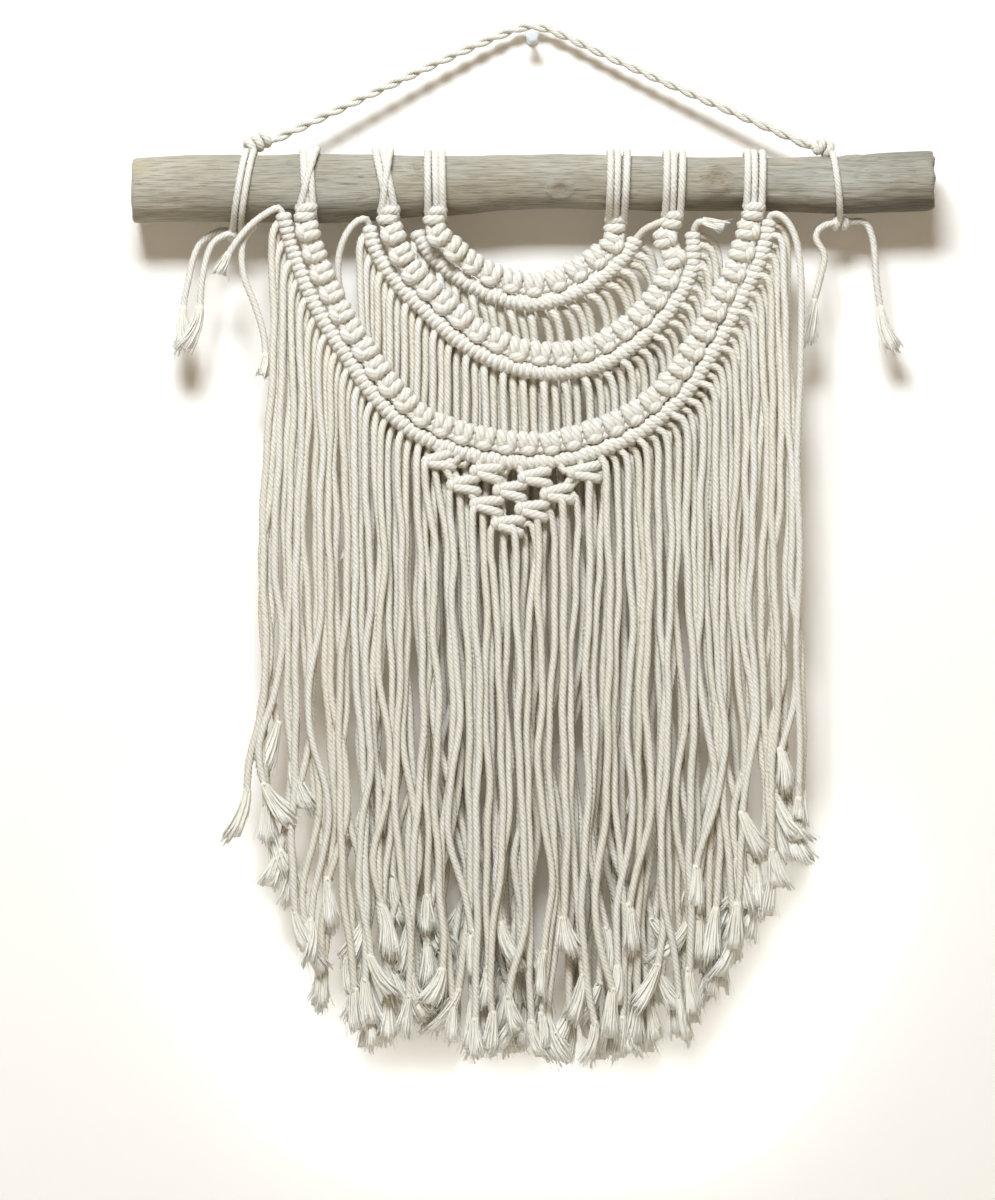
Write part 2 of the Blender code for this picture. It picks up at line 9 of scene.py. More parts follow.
import bpy
import numpy as np
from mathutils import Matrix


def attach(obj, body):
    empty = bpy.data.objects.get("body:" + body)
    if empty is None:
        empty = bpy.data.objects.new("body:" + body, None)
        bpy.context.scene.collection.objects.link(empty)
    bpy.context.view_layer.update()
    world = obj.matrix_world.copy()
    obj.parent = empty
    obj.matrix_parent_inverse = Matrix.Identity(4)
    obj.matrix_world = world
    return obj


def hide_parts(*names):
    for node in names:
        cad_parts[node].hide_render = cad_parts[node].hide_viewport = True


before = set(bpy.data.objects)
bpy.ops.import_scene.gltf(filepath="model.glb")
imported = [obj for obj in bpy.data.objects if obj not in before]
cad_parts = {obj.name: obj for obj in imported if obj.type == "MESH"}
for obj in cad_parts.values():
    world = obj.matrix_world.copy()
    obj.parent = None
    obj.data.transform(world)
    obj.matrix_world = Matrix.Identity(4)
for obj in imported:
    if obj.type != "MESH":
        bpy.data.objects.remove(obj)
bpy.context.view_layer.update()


# The camera stands square in front of the wall, level with the middle of the hanging.
# The wall is plain and pale, seen only from its front. The floor lies well below the fringe.

MM = 0.001
VIEW_MIDDLE = (-18.8, -305.0)      # across and up
VIEW_HEIGHT = 645.6
VIEW_PLANE = 30.0                  # distance from the wall at which the view is that high
VIEW_DISTANCE = 2600.0
SENSOR = 36.0
FLOOR_UP = -1400.0
FLOOR_DEPTH = 4000.0
WALL_REACH = 2500.0                # to either side
WALL_TOP = 2000.0


def in_world(points):
    """World metres of points in the panel frame: out from the wall is towards -Y."""
    p = np.asarray(points, dtype=float)
    return np.stack([p[..., 0], -p[..., 2], p[..., 1]], axis=-1) * MM


camera_data = bpy.data.cameras.new("camera")
camera_data.sensor_width = SENSOR
camera_data.lens = SENSOR * VIEW_DISTANCE / VIEW_HEIGHT
camera = bpy.data.objects.new("camera", camera_data)
camera.location = in_world((*VIEW_MIDDLE, VIEW_DISTANCE + VIEW_PLANE))
camera.rotation_euler = (math.pi / 2, 0.0, 0.0)
bpy.context.scene.collection.objects.link(camera)
bpy.context.scene.camera = camera


def set_inputs(tree, node, inputs):
    """Give a node's inputs plain values, or join them to the outputs of other nodes."""
    for socket, given in inputs.items():
        if isinstance(given, bpy.types.NodeSocket):
            tree.links.new(given, node.inputs[socket])
        else:
            node.inputs[socket].default_value = given


def add_node(tree, kind, inputs, output=0, **options):
    """One output of a new node, with its options and inputs set."""
    node = tree.nodes.new("ShaderNode" + kind)
    for option, choice in options.items():
        setattr(node, option, choice)
    set_inputs(tree, node, inputs)
    return node.outputs[output]


def new_finish(name):
    """New material, with its node tree and the shader in it."""
    finish = bpy.data.materials.new(name)
    finish.use_nodes = True
    return finish, finish.node_tree, finish.node_tree.nodes["Principled BSDF"]


def flat_face(name, corners, finish):
    """One face with four corners, which are given in the panel frame."""
    mesh = bpy.data.meshes.new(name)
    mesh.from_pydata(in_world(corners).tolist(), [], [(0, 1, 2, 3)])
    mesh.materials.append(finish)
    face = bpy.data.objects.new(name, mesh)
    bpy.context.scene.collection.objects.link(face)
    return face


paint, tree, shader = new_finish("wall_paint")
set_inputs(tree, shader, {"Base Color": (0.985, 0.945, 0.895, 1.0), "Roughness": 1.0,
                          "Specular IOR Level": 0.1})
from_behind = add_node(tree, "NewGeometry", {}, "Backfacing")
casting = add_node(tree, "LightPath", {}, "Is Shadow Ray")
open_to = add_node(tree, "Math", {0: from_behind, 1: casting}, operation="MAXIMUM")
clear = add_node(tree, "BsdfTransparent", {})
one_sided = add_node(tree, "MixShader", {0: open_to, 1: shader.outputs[0], 2: clear})
set_inputs(tree, tree.nodes["Material Output"], {"Surface": one_sided})
wall = flat_face("wall", [(-WALL_REACH, FLOOR_UP, 0), (WALL_REACH, FLOOR_UP, 0),
                          (WALL_REACH, WALL_TOP, 0), (-WALL_REACH, WALL_TOP, 0)], paint)

plaster, tree, shader = new_finish("pale_floor")
set_inputs(tree, shader, {"Base Color": (0.82, 0.77, 0.69, 1.0), "Roughness": 0.9})
floor = flat_face("floor", [(-WALL_REACH, FLOOR_UP, 0), (-WALL_REACH, FLOOR_UP, FLOOR_DEPTH),
                            (WALL_REACH, FLOOR_UP, FLOOR_DEPTH), (WALL_REACH, FLOOR_UP, 0)], plaster)


# Light: a broad lamp above and in front, a weak one in front, three strips that wash the wall
# along the hem, a lamp behind for the back, and an even warm surround, seen as a pale backdrop.

WASH_OUT = 25.0                    # from the wall to a strip
WASH_HIGH = 16.0
WASH_COLOUR = (0.90, 0.97, 1.01)
WASHES = (                         # name, across, up, degrees turned, wide, power
    ("wash_middle", -2.0, -581.0, 0.0, 200.0, 0.042),
    ("wash_left", -149.0, -511.0, -57.0, 150.0, 0.030),
    ("wash_right", 141.0, -510.0, 60.0, 150.0, 0.030),
)


def add_lamp(name, place, aim, wide, high, power, colour):
    """Rectangular lamp at a place in the panel frame, turned to face another place."""
    data = bpy.data.lights.new(name, "AREA")
    data.shape = "RECTANGLE"
    data.size = wide * MM
    data.size_y = high * MM
    data.energy = power
    data.color = colour
    lamp = bpy.data.objects.new(name, data)
    start, end = in_world(place), in_world(aim)
    lamp.location = start
    direction = end - start
    flat = math.hypot(direction[0], direction[1])
    lamp.rotation_euler = (math.atan2(flat, -direction[2]), 0.0,
                           math.atan2(direction[1], direction[0]) - math.pi / 2)
    lamp.visible_camera = False
    bpy.context.scene.collection.objects.link(lamp)
    return lamp


add_lamp("key_lamp", place=(-250.0, 1105.0, 1600.0), aim=(0.0, -250.0, 20.0),
         wide=800.0, high=500.0, power=56.0, colour=(0.905, 0.975, 1.045))
add_lamp("fill_lamp", place=(300.0, -300.0, 2400.0), aim=(0.0, -300.0, 20.0),
         wide=1500.0, high=1200.0, power=2.0, colour=(1.0, 0.86, 0.66))
washed = bpy.data.collections.new("washed")
washed.objects.link(wall)
for strip_name, across, up, turned, wide, power in WASHES:
    strip = add_lamp(strip_name, place=(across, up, WASH_OUT), aim=(across, up, 0.0),
                     wide=wide, high=WASH_HIGH, power=power, colour=WASH_COLOUR)
    strip.rotation_euler.rotate_axis("Z", math.radians(turned))
    strip.light_linking.receiver_collection = washed
    strip.light_linking.blocker_collection = washed
add_lamp("back_lamp", place=(300.0, 700.0, -1500.0), aim=(0.0, -250.0, 20.0),
         wide=1200.0, high=900.0, power=5.0, colour=(1.0, 1.0, 1.0))

world = bpy.data.worlds.new("surround")
world.use_nodes = True
tree = world.node_tree
warmth = tree.nodes["Background"]
set_inputs(tree, warmth, {"Color": (1.0, 0.70, 0.32, 1.0), "Strength": 0.155})
backdrop = add_node(tree, "Background", {"Color": (0.80, 0.79, 0.77, 1.0)})
seen = add_node(tree, "LightPath", {}, "Is Camera Ray")
surround = add_node(tree, "MixShader", {0: seen, 1: warmth.outputs[0], 2: backdrop})
set_inputs(tree, tree.nodes["World Output"], {"Surface": surround})
bpy.context.scene.world = world
bpy.context.scene.view_settings.view_transform = "Standard"


# Hanger rope: two cotton cords laid together, tied to the stick at both ends and hung over the
# pin. The cord itself is undyed cotton, five plies twisted together.

FULL_TURN = 2 * math.pi
CORD = 3.8                         # diameter of the cord
PLIES = 5
PLY_LAY = 13.0                     # one turn of the plies, along the cord
PLY_CREST = 1.04                   # share of the radius at the crest of a ply
PLY_GROOVE = 0.2                   # depth between two plies, in shares of the radius
ROPE_LAY = 22.0                    # one turn of the two cords
ROPE_CORD_RADIUS = 1.5             # the rope's cords are pulled tight
ROPE_HEART = 1.35                  # from the rope's middle to that of each cord
ROPE_STEP = 1.2                    # rows of the rope's surface, along it
ROPE_TONES = (0.06, 0.16)          # how far each cord keeps raw cotton's colour
PLAIN_TONE = 0.05                  # the same for a piece that gives none
SPAN_SAMPLES = 24                  # points worked out between two points of a route
ROPE_ROUTE = (                     # across, up, out, from the left tie to the right
    (-139.8, -56.7, 22.6),
    (-112.0, -43.2, 19.6),
    (-82.0, -28.6, 16.2),
    (-41.7, -9.2, 11.7),
    (-12.0, 3.7, 8.6),
    (0.0, 6.3, 8.0),
    (12.0, 3.7, 8.4),
    (40.9, -9.9, 11.2),
    (71.8, -24.3, 14.2),
    (134.2, -52.6, 20.3),
    (150.0, -60.0, 21.9),
)
ACROSS = np.array([1.0, 0.0, 0.0])
UP = np.array([0.0, 1.0, 0.0])
OUT = np.array([0.0, 0.0, 1.0])
# Cotton: for raw cotton and the painted shade that uses its colour, and for the painted shade in its
# grooves, each colour is this share of the pale and the deep
RAW_AND_SHADE_SHARE = (0.90, 0.79, 0.58)
GROOVE_SHADE_SHARE = (0.72, 0.60, 0.43)
GROOVE_POWER = 6.0                 # the higher, the narrower a groove's shade


def smooth_route(points, step):
    """Points every step or so along the Catmull-Rom curve through the given points."""
    knots = np.array(points, dtype=float)
    ends = np.vstack([2 * knots[0] - knots[1], knots, 2 * knots[-1] - knots[-2]])
    t = np.linspace(0.0, 1.0, SPAN_SAMPLES, endpoint=False)[:, None, None]
    a, b, c, d = ends[:-3], ends[1:-2], ends[2:-1], ends[3:]
    curve = 0.5 * (2 * b + (c - a) * t + (2 * a - 5 * b + 4 * c - d) * t ** 2
                   + (3 * b - a - 3 * c + d) * t ** 3)
    fine = np.vstack([curve.transpose(1, 0, 2).reshape(-1, knots.shape[1]), knots[-1:]])
    run = run_along(fine)
    return point_at(np.linspace(0.0, run[-1], max(2, int(round(run[-1] / step)) + 1)), run, fine)


def run_along(route):
    """Distance along a route at each of its points."""
    steps = np.linalg.norm(np.diff(route, axis=0), axis=1)
    return np.concatenate([[0.0], np.cumsum(steps)])


def point_at(place, run, route):
    """A route's point at one place, or its points at many, between the runs of its own points."""
    return np.stack([np.interp(place, run, column) for column in route.T], axis=-1)


def unit(vectors):
    """Vectors at length one."""
    return vectors / np.linalg.norm(vectors, axis=-1, keepdims=True)


def evenly_round(count):
    """Angles once round, evenly spaced."""
    return FULL_TURN * np.arange(count) / count


def square_to(tangent, beside):
    """Two directions square to a tangent: the nearest to a given one, and a quarter turn on."""
    first = unit(beside - tangent * (tangent @ beside)[..., None])
    return first, np.cross(tangent, first)


def laid_cord(route, beside, radius=CORD / 2, joined=False, relief=1.0):
    """Twisted cord along a route: a crest and a groove for each ply, turning once in each lay.

    The section's columns turn with the plies: angle = column - 2 pi run / lay. A joined cord
    closes on itself after a whole number of turns.
    """
    if joined:
        tangent = unit(np.roll(route, -1, axis=0) - np.roll(route, 1, axis=0))
        run = run_along(np.vstack([route, route[:1]]))
        turns = max(1.0, round(run[-1] / PLY_LAY))
        turn = FULL_TURN * turns * run[:-1] / run[-1]
    else:
        tangent = unit(np.gradient(route, axis=0))
        run = run_along(route)
        turn = FULL_TURN * run / PLY_LAY
    first, second = square_to(tangent, beside)
    columns = np.arange(2 * PLIES)
    angle = math.pi * columns[None, :] / PLIES - turn[:, None]
    reach = (PLY_CREST - relief * PLY_GROOVE * (columns % 2))[None, :] * radius
    grid = (route[:, None, :] + (reach * np.cos(angle))[..., None] * first[:, None, :]
            + (reach * np.sin(angle))[..., None] * second[:, None, :])
    return grid[None], run, joined


def new_piece(name, tubes, finish, node, tones=None):
    """One mesh of tubes, in place of a node of the CAD.

    A tube is a set of like grids, rows along by columns round, with the run at each row, and
    joined to itself or closed at both ends. Map: u once round, v the run. Tone: how far a place
    takes raw cotton's warmer colour, which also serves as painted shade on the sides of strands and in
    the layer behind.
    """
    places, corners, sizes, maps, shades = [], [], [], [], []
    base = 0
    for index, (grids, run, joined) in enumerate(tubes):
        count, rows, columns, _ = grids.shape
        i = np.arange(rows if joined else rows - 1)
        j = np.arange(columns)
        start = base + np.arange(count)[:, None, None] * rows * columns
        low = i[None, :, None] * columns
        high = ((i + 1) % rows)[None, :, None] * columns
        here, there = j[None, None, :], ((j + 1) % columns)[None, None, :]
        quads = np.stack([start + low + here, start + low + there,
                          start + high + there, start + high + here], axis=-1)
        corners.append(quads.reshape(-1))
        sizes.append(np.full(quads.size // 4, 4))
        across = np.stack([j, j + 1, j + 1, j], axis=-1) / columns
        along = np.stack([run[i], run[i], run[i + 1], run[i + 1]], axis=-1)
        uv = np.stack(np.broadcast_arrays(across[None, None], along[None, :, None]), axis=-1)
        maps.append(np.broadcast_to(uv, (count,) + uv.shape[1:]).reshape(-1, 2))
        if not joined:
            first = start[:, 0] + j[::-1][None, :]
            last = start[:, 0] + (rows - 1) * columns + j[None, :]
            ends = np.concatenate([first, last]).reshape(-1)
            corners.append(ends)
            sizes.append(np.full(2 * count, columns))
            maps.append(np.zeros((len(ends), 2)))
        places.append(grids.reshape(-1, 3))
        tone = PLAIN_TONE if tones is None else tones[index]
        shades.append(np.broadcast_to(tone, (count, rows, columns)).reshape(-1))
        base += count * rows * columns
    places, corners, sizes = np.vstack(places), np.concatenate(corners), np.concatenate(sizes)
    mesh = bpy.data.meshes.new(name)
    mesh.vertices.add(len(places))
    mesh.vertices.foreach_set("co", in_world(places).ravel().astype(np.float32))
    mesh.loops.add(len(corners))
    mesh.loops.foreach_set("vertex_index", corners.astype(np.int32))
    mesh.polygons.add(len(sizes))
    mesh.polygons.foreach_set("loop_start", (np.cumsum(sizes) - sizes).astype(np.int32))
    layer = mesh.uv_layers.new(name="lay")
    layer.data.foreach_set("uv", np.vstack(maps).ravel().astype(np.float32))
    mesh.update(calc_edges=True)
    mesh.validate()
    mesh.shade_smooth()
    shade = mesh.attributes.new("tone", "FLOAT", "POINT")
    shade.data.foreach_set("value", np.concatenate(shades).astype(np.float32))
    mesh.materials.append(finish)
    piece = bpy.data.objects.new(name, mesh)
    bpy.context.scene.collection.objects.link(piece)
    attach(piece, "root")
    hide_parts(node)
    return piece


def calc(tree, operation, *values):
    """Sum worked out within a finish, place by place."""
    return add_node(tree, "Math", dict(enumerate(values)), operation=operation)


def rescaled(tree, value, low, high, start, end):
    """A value from low to high turned into one from start to end."""
    return add_node(tree, "MapRange", {"Value": value, "From Min": low, "From Max": high,
                                       "To Min": start, "To Max": end})


def speckle(tree, place, scale, detail, roughness=0.5):
    """Smooth random value from 0 to 1 at a place."""
    return add_node(tree, "TexNoise", {"Vector": place, "Scale": scale, "Detail": detail,
                                       "Roughness": roughness}, "Fac")


def blend(tree, kind, amount, under, over):
    """Two colours mixed by an amount."""
    return add_node(tree, "Mix", {"Factor": amount, "A": under, "B": over}, "Result",
                    data_type="RGBA", blend_type=kind)


def cotton_finish(name, pale, deep, painted_groove_shade, sheen=0.15):
    """Undyed cotton: cream plies with painted shade in the grooves between, and fibres that follow the
    lay.

    Painted groove shade: its strength times sin(plies pi u) ^ groove power, for u once round the cord.
    """
    cotton, tree, shader = new_finish(name)
    cotton["slot"] = "cotton_cord"
    lay = add_node(tree, "UVMap", {}, uv_map="lay")
    place = add_node(tree, "TexCoord", {}, "Object")
    tone = add_node(tree, "Attribute", {}, "Fac", attribute_name="tone")
    around = calc(tree, "MULTIPLY", add_node(tree, "SeparateXYZ", {0: lay}), PLIES * math.pi)
    groove = calc(tree, "POWER", calc(tree, "SINE", around), GROOVE_POWER)
    patches = rescaled(tree, speckle(tree, place, scale=45.0, detail=3.0), 0.0, 1.0, 0.0, 0.3)
    # Tone mixes towards raw cotton's warmer, darker colour, which also serves as painted shade
    colour = blend(tree, "MIX", tone, (*pale, 1.0), (*np.multiply(pale, RAW_AND_SHADE_SHARE), 1.0))
    colour = blend(tree, "MIX", patches, colour, (*deep, 1.0))
    # Painted shade: the colour darkens in the grooves between plies
    colour = blend(tree, "MIX", calc(tree, "MULTIPLY", groove, painted_groove_shade), colour,
                   (*np.multiply(deep, GROOVE_SHADE_SHARE), 1.0))

    drawn_out = add_node(tree, "Mapping", {"Vector": lay, "Scale": (34.0, 0.55, 1.0),
                                           "Rotation": (0.0, 0.0, 0.02)})
    fibres = speckle(tree, drawn_out, scale=1.0, detail=2.0, roughness=0.6)
    fibres = add_node(tree, "Bump", {"Height": fibres, "Strength": 0.5, "Distance": 0.00025})
    fluff = speckle(tree, place, scale=520.0, detail=2.0)
    fluff = add_node(tree, "Bump", {"Height": fluff, "Strength": 0.55, "Distance": 0.0011,
                                    "Normal": fibres})
    set_inputs(tree, shader, {
        "Base Color": colour, "Normal": fluff, "Roughness": 0.92, "Specular IOR Level": 0.18,
        "Sheen Weight": sheen, "Sheen Roughness": 0.5})
    return cotton


cord_cotton = cotton_finish("cotton_cord", pale=(0.80, 0.79, 0.755), deep=(0.68, 0.65, 0.56),
                            painted_groove_shade=0.55)

rope_route = smooth_route(ROPE_ROUTE, ROPE_STEP)
rope_run = run_along(rope_route)
rope_side, rope_over = square_to(unit(np.gradient(rope_route, axis=0)), OUT)
rope_cords = []
for half_turn in (0.0, math.pi):
    angle = (FULL_TURN * rope_run / ROPE_LAY + half_turn)[:, None]
    cord_route = rope_route + ROPE_HEART * (np.cos(angle) * rope_side + np.sin(angle) * rope_over)
    rope_cords.append(laid_cord(cord_route, OUT, ROPE_CORD_RADIUS))
rope = new_piece("hanger_rope_cords", rope_cords, cord_cotton, "hanger_rope", ROPE_TONES)
[tuple(point) for point in in_world(smooth_route(ROPE_ROUTE, 8.0))]


# Driftwood stick: a bare weathered branch with both ends sawn off. It is thicker at the left, and
# its grain stands out in ridges, with open cracks and the scars of two twigs.

STICK_OUT = 24.0                   # stick axis to wall
STICK = (                          # across, up and radius, from left to right
    (-214.7, -85.0, 17.2),
    (-179.0, -83.9, 17.8),
    (-140.0, -83.9, 18.0),
    (-98.0, -83.4, 18.2),
    (-44.0, -81.8, 15.6),
    (4.0, -79.8, 14.4),
    (58.0, -80.7, 14.4),
    (106.0, -81.2, 14.5),
    (162.0, -81.9, 14.9),
    (188.0, -80.4, 15.5),
    (215.3, -79.4, 16.0),
)
STICK_STEP = 1.5                   # between the places at which the stick's middle line is known
STICK_ROWS = 260
STICK_COLUMNS = 72
FACE_LIFT = 0.5                    # the weathered face lies this much higher than the middle line
SKIN = 0.2                         # and this much further out
GIRTH_RADIUS = 16.0                # distances round the stick are measured at this radius
# Relief of the weathered face: height, seed, cells along, cells round
RELIEF = ((0.55, 1, 9, 5), (0.35, 2, 26, 11), (0.2, 3, 24, 36), (0.14, 4, 40, 60))
# Twig scars: across, angle round the stick from its front upwards, radius. The last is at the back
# and has weathered to the colour of the wood.
SCARS = ((14.8, -0.38, 5.0), (99.3, 0.12, 6.5), (-62.0, 0.55, 3.6), (172.0, 1.9, 4.5))
SCAR_RIM = (0.9, 2.2)              # height and width of the ridge round a scar
SCAR_PIT = (1.1, 0.6)              # depth of its middle, and its width as a share of the radius
SCAR_DEPTH = 14.0                  # from the stick's middle line to the middle of a scar's stain
# Open cracks: across at the middle, angle, half-length, depth
CRACKS = ((-99.0, -1.0, 20.0, 1.3), (-170.0, 0.35, 30.0, 0.8), (40.0, 0.6, 44.0, 0.7),
          (130.0, -0.35, 38.0, 0.9), (-20.0, 0.25, 30.0, 0.6), (186.0, 0.2, 26.0, 0.9),
          (-190.0, -0.5, 20.0, 0.9), (70.0, 2.6, 60.0, 0.9), (-120.0, 2.9, 50.0, 0.9))
CRACK_WIDTH = 0.7
CRACK_WAVE = (0.05, 7.0)           # a crack winds by this angle, over this length
RIM_CALM = 12.0                    # run over which the relief dies down towards a rim
SAW_SHARES = np.array([0.02, 0.2, 0.4, 0.6, 0.78, 0.9, 0.975])   # rings of a sawn end
SAW_DISH = (0.6, 0.4)              # a sawn end's middle is this proud, and its rim this far back
RIM_WEAR = (0.5, 1.2)              # how much the stick's rims are worn, and over what length
SAW_MARK = 0.5
CHIP_DEPTH = 0.9                   # the broken right rim comes and goes by this much
CHIP_LENGTH = 2.0                  # and over this run
YELLOWED = (-211.0, -73.0, 38.0)   # a yellowed spot at the left end: across, up, out


def grain_height(seed, along, turn, cells_along, cells_round):
    """Smooth random relief: seeded heights on a lattice, blended by cosines, joined round."""
    heights = np.random.default_rng(seed).uniform(-1.0, 1.0, (cells_along + 2, cells_round))
    x = np.clip(along, 0.0, 1.0) * cells_along
    y = (turn / FULL_TURN) % 1.0 * cells_round
    i, j = x.astype(int), y.astype(int) % cells_round
    u = 0.5 - 0.5 * np.cos(math.pi * (x - i))
    v = 0.5 - 0.5 * np.cos(math.pi * (y - np.floor(y)))
    k = (j + 1) % cells_round
    low = heights[i, j] * (1 - v) + heights[i, k] * v
    high = heights[i + 1, j] * (1 - v) + heights[i + 1, k] * v
    return low * (1 - u) + high * u


def round_stick(angle, place):
    """Distance round the stick to an angle from another, the shorter way."""
    return ((angle - place + math.pi) % FULL_TURN - math.pi) * GIRTH_RADIUS


def stick_rows(across, up, radius):
    """Rings of the stick: across, up + r sin(turn), out + r cos(turn)."""
    return np.stack(np.broadcast_arrays(across, up + radius * np.sin(turn),
                                        STICK_OUT + radius * np.cos(turn)), axis=-1)


stations = smooth_route(STICK, STICK_STEP) + (0.0, FACE_LIFT, 0.0)
station_shares = run_along(stations) / run_along(stations)[-1]
share = np.linspace(0.0, 1.0, STICK_ROWS)[:, None]
body = point_at(share[:, 0], station_shares, stations)
along, height, girth = body[:, :1], body[:, 1:2], body[:, 2:]
turn = evenly_round(STICK_COLUMNS)[None, :]
relief = sum(high * grain_height(seed, share, turn, cells_along, cells_round)
             for high, seed, cells_along, cells_round in RELIEF)
for scar_across, scar_turn, scar_size in SCARS:
    away = np.hypot(along - scar_across, round_stick(turn, scar_turn))
    relief = relief + SCAR_RIM[0] * np.exp(-((away - scar_size) / SCAR_RIM[1]) ** 2)
    relief = relief - SCAR_PIT[0] * np.exp(-(away / (SCAR_PIT[1] * scar_size)) ** 2)
for crack_across, crack_turn, half_length, depth in CRACKS:
    winding = CRACK_WAVE[0] * np.sin((along - crack_across) / CRACK_WAVE[1])
    gap = round_stick(turn, crack_turn + winding)
    fade = np.clip(1.0 - np.abs(along - crack_across) / half_length, 0.0, 1.0) ** 0.6
    relief = relief - depth * fade * np.exp(-(gap / CRACK_WIDTH) ** 2)
from_rim = np.minimum(along - along[0], along[-1] - along)
worn = RIM_WEAR[0] * np.exp(-from_rim / RIM_WEAR[1])
reach = girth + SKIN + relief * (1.0 - 0.5 * np.exp(-from_rim / RIM_CALM)) - worn

saw_face = SAW_SHARES[:, None]
saw_marks = SAW_MARK * grain_height(5, np.linspace(0, 1, len(SAW_SHARES))[:, None], turn, 5, 16)
dish = SAW_DISH[0] * (1.0 - saw_face) - SAW_DISH[1]
chips = CHIP_DEPTH * grain_height(6, 0.5 * np.ones((1, 1)), turn, 2, 24)
left_end = stick_rows(along[0] + 0.5 * saw_marks + dish, height[0], saw_face * reach[:1])
right_end = stick_rows(along[-1] + chips * saw_face ** 2 - saw_marks - dish, height[-1],
                       saw_face * reach[-1:])[::-1]
trunk = stick_rows(along + chips * np.exp(-(along[-1] - along) / CHIP_LENGTH), height, reach)
stick_grid = np.concatenate([left_end, trunk, right_end])[:, ::-1]
stick_run = np.pad(body[:, 0] - body[0, 0], len(SAW_SHARES), mode="edge")


def driftwood_finish():
    """Silvered wood: grey-tan streaks along the grain, dark fissures, and stained twig scars."""
    wood, tree, shader = new_finish("driftwood")
    wood["slot"] = "driftwood"
    place = add_node(tree, "TexCoord", {}, "Object")
    across = add_node(tree, "SeparateXYZ", {0: place}, 0)
    facing_up = add_node(tree, "SeparateXYZ", {0: add_node(tree, "TexCoord", {}, "Normal")}, 2)

    def streaks(scale, stretch, detail):
        """Speckle drawn out along the stick."""
        drawn = add_node(tree, "Mapping", {"Vector": place, "Scale": (stretch, 1.0, 1.0)})
        return speckle(tree, drawn, scale, detail)

    def shades(value, stops):
        """Colours along a value from 0 to 1."""
        band = tree.nodes.new("ShaderNodeValToRGB")
        tree.links.new(value, band.inputs["Fac"])
        ends = band.color_ramp.elements
        for end, (position, colour) in zip(ends, (stops[0], stops[-1])):
            end.position = position
            end.color = (*colour, 1.0)
        for position, colour in stops[1:-1]:
            ends.new(position).color = (*colour, 1.0)
        return band.outputs["Color"]

    def stained(colour, spot, inside, outside, strength, stain):
        """Colour with a round stain that fades from one distance of its spot to another."""
        away = add_node(tree, "VectorMath", {0: place, 1: in_world(spot)}, "Value",
                        operation="DISTANCE")
        fade = rescaled(tree, away, inside * MM, outside * MM, strength, 0.0)
        return blend(tree, "MIX", fade, colour, (*stain, 1.0))

    broad = shades(streaks(scale=24.0, stretch=0.35, detail=5.0),
                   ((0.30, (0.255, 0.23, 0.18)), (0.45, (0.335, 0.305, 0.245)),
                    (0.57, (0.385, 0.36, 0.30)), (0.72, (0.465, 0.445, 0.385))))
    patches = shades(streaks(scale=38.0, stretch=0.5, detail=3.0),
                     ((0.33, (0.96, 0.99, 1.02)), (0.50, (1.0, 0.99, 0.97)),
                      (0.67, (1.04, 0.985, 0.89))))
    fibres = streaks(scale=1100.0, stretch=0.055, detail=8.0)
    fine = shades(fibres, ((0.30, (0.64, 0.62, 0.59)), (0.50, (0.97, 0.965, 0.96)),
                           (0.70, (1.14, 1.13, 1.12))))
    hairlines = shades(streaks(scale=1500.0, stretch=0.06, detail=5.0),
                       ((0.34, (0.55, 0.52, 0.48)), (0.44, (1.0, 1.0, 1.0))))
    # The left end is bleached
    bleached = rescaled(tree, across, -190.0 * MM, -110.0 * MM, 0.5, 0.0)

    # Painted shade darkens the underside, with a ragged edge, and creeps up towards the right end
    edge = calc(tree, "MULTIPLY_ADD", streaks(scale=60.0, stretch=0.16, detail=6.0), 0.8, facing_up)
    edge = calc(tree, "ADD", edge, rescaled(tree, across, 70.0 * MM, 190.0 * MM, 0.0, -0.22))
    painted_underside_shade = calc(tree, "MULTIPLY", rescaled(tree, edge, -0.40, -0.10, 1.0, 0.0),
                     rescaled(tree, across, 40.0 * MM, 170.0 * MM, 0.32, 1.0))

    colour = blend(tree, "MULTIPLY", 1.0, broad, patches)
    colour = blend(tree, "MIX", bleached, colour, (0.53, 0.49, 0.40, 1.0))
    # painted shade on the underside
    colour = blend(tree, "MULTIPLY", painted_underside_shade, colour, (0.50, 0.49, 0.47, 1.0))
    colour = blend(tree, "MULTIPLY", 0.9, colour, fine)
    colour = blend(tree, "MULTIPLY", 0.75, colour, hairlines)
    colour = stained(colour, YELLOWED, 2.0, 8.0, 0.5, (0.42, 0.34, 0.19))
    for scar_across, scar_turn, scar_size in SCARS[:3]:
        scar_up = np.interp(scar_across, stations[:, 0], stations[:, 1])
        spot = (scar_across, scar_up + SCAR_DEPTH * math.sin(scar_turn),
                STICK_OUT + SCAR_DEPTH * math.cos(scar_turn))
        colour = stained(colour, spot, 0.3 * scar_size, 1.5 * scar_size, 0.4, (0.22, 0.165, 0.10))
    relief = add_node(tree, "Bump", {"Height": fibres, "Strength": 0.7, "Distance": 0.0006})
    set_inputs(tree, shader, {"Base Color": colour, "Normal": relief, "Roughness": 0.88,
                              "Specular IOR Level": 0.2})
    return wood


new_piece("driftwood_branch", [(stick_grid[None], stick_run, False)], driftwood_finish(),
          "driftwood_stick")


# Push pin: moulded in one piece of clear bluish plastic, with a round head. The rope lies over
# its waist.

# Its turned shape: out from the wall, radius
PIN = ((0.0, 0.4), (0.0, 3.2), (0.25, 3.4), (1.4, 3.4), (1.7, 3.1), (2.6, 1.6), (3.4, 1.45),
       (12.2, 1.45), (13.2, 1.75), (14.0, 2.9), (14.4, 3.2), (15.0, 3.35), (16.8, 3.4),
       (17.5, 3.15), (17.9, 2.5), (18.0, 1.4), (18.0, 0.3))
PIN_COLUMNS = 40


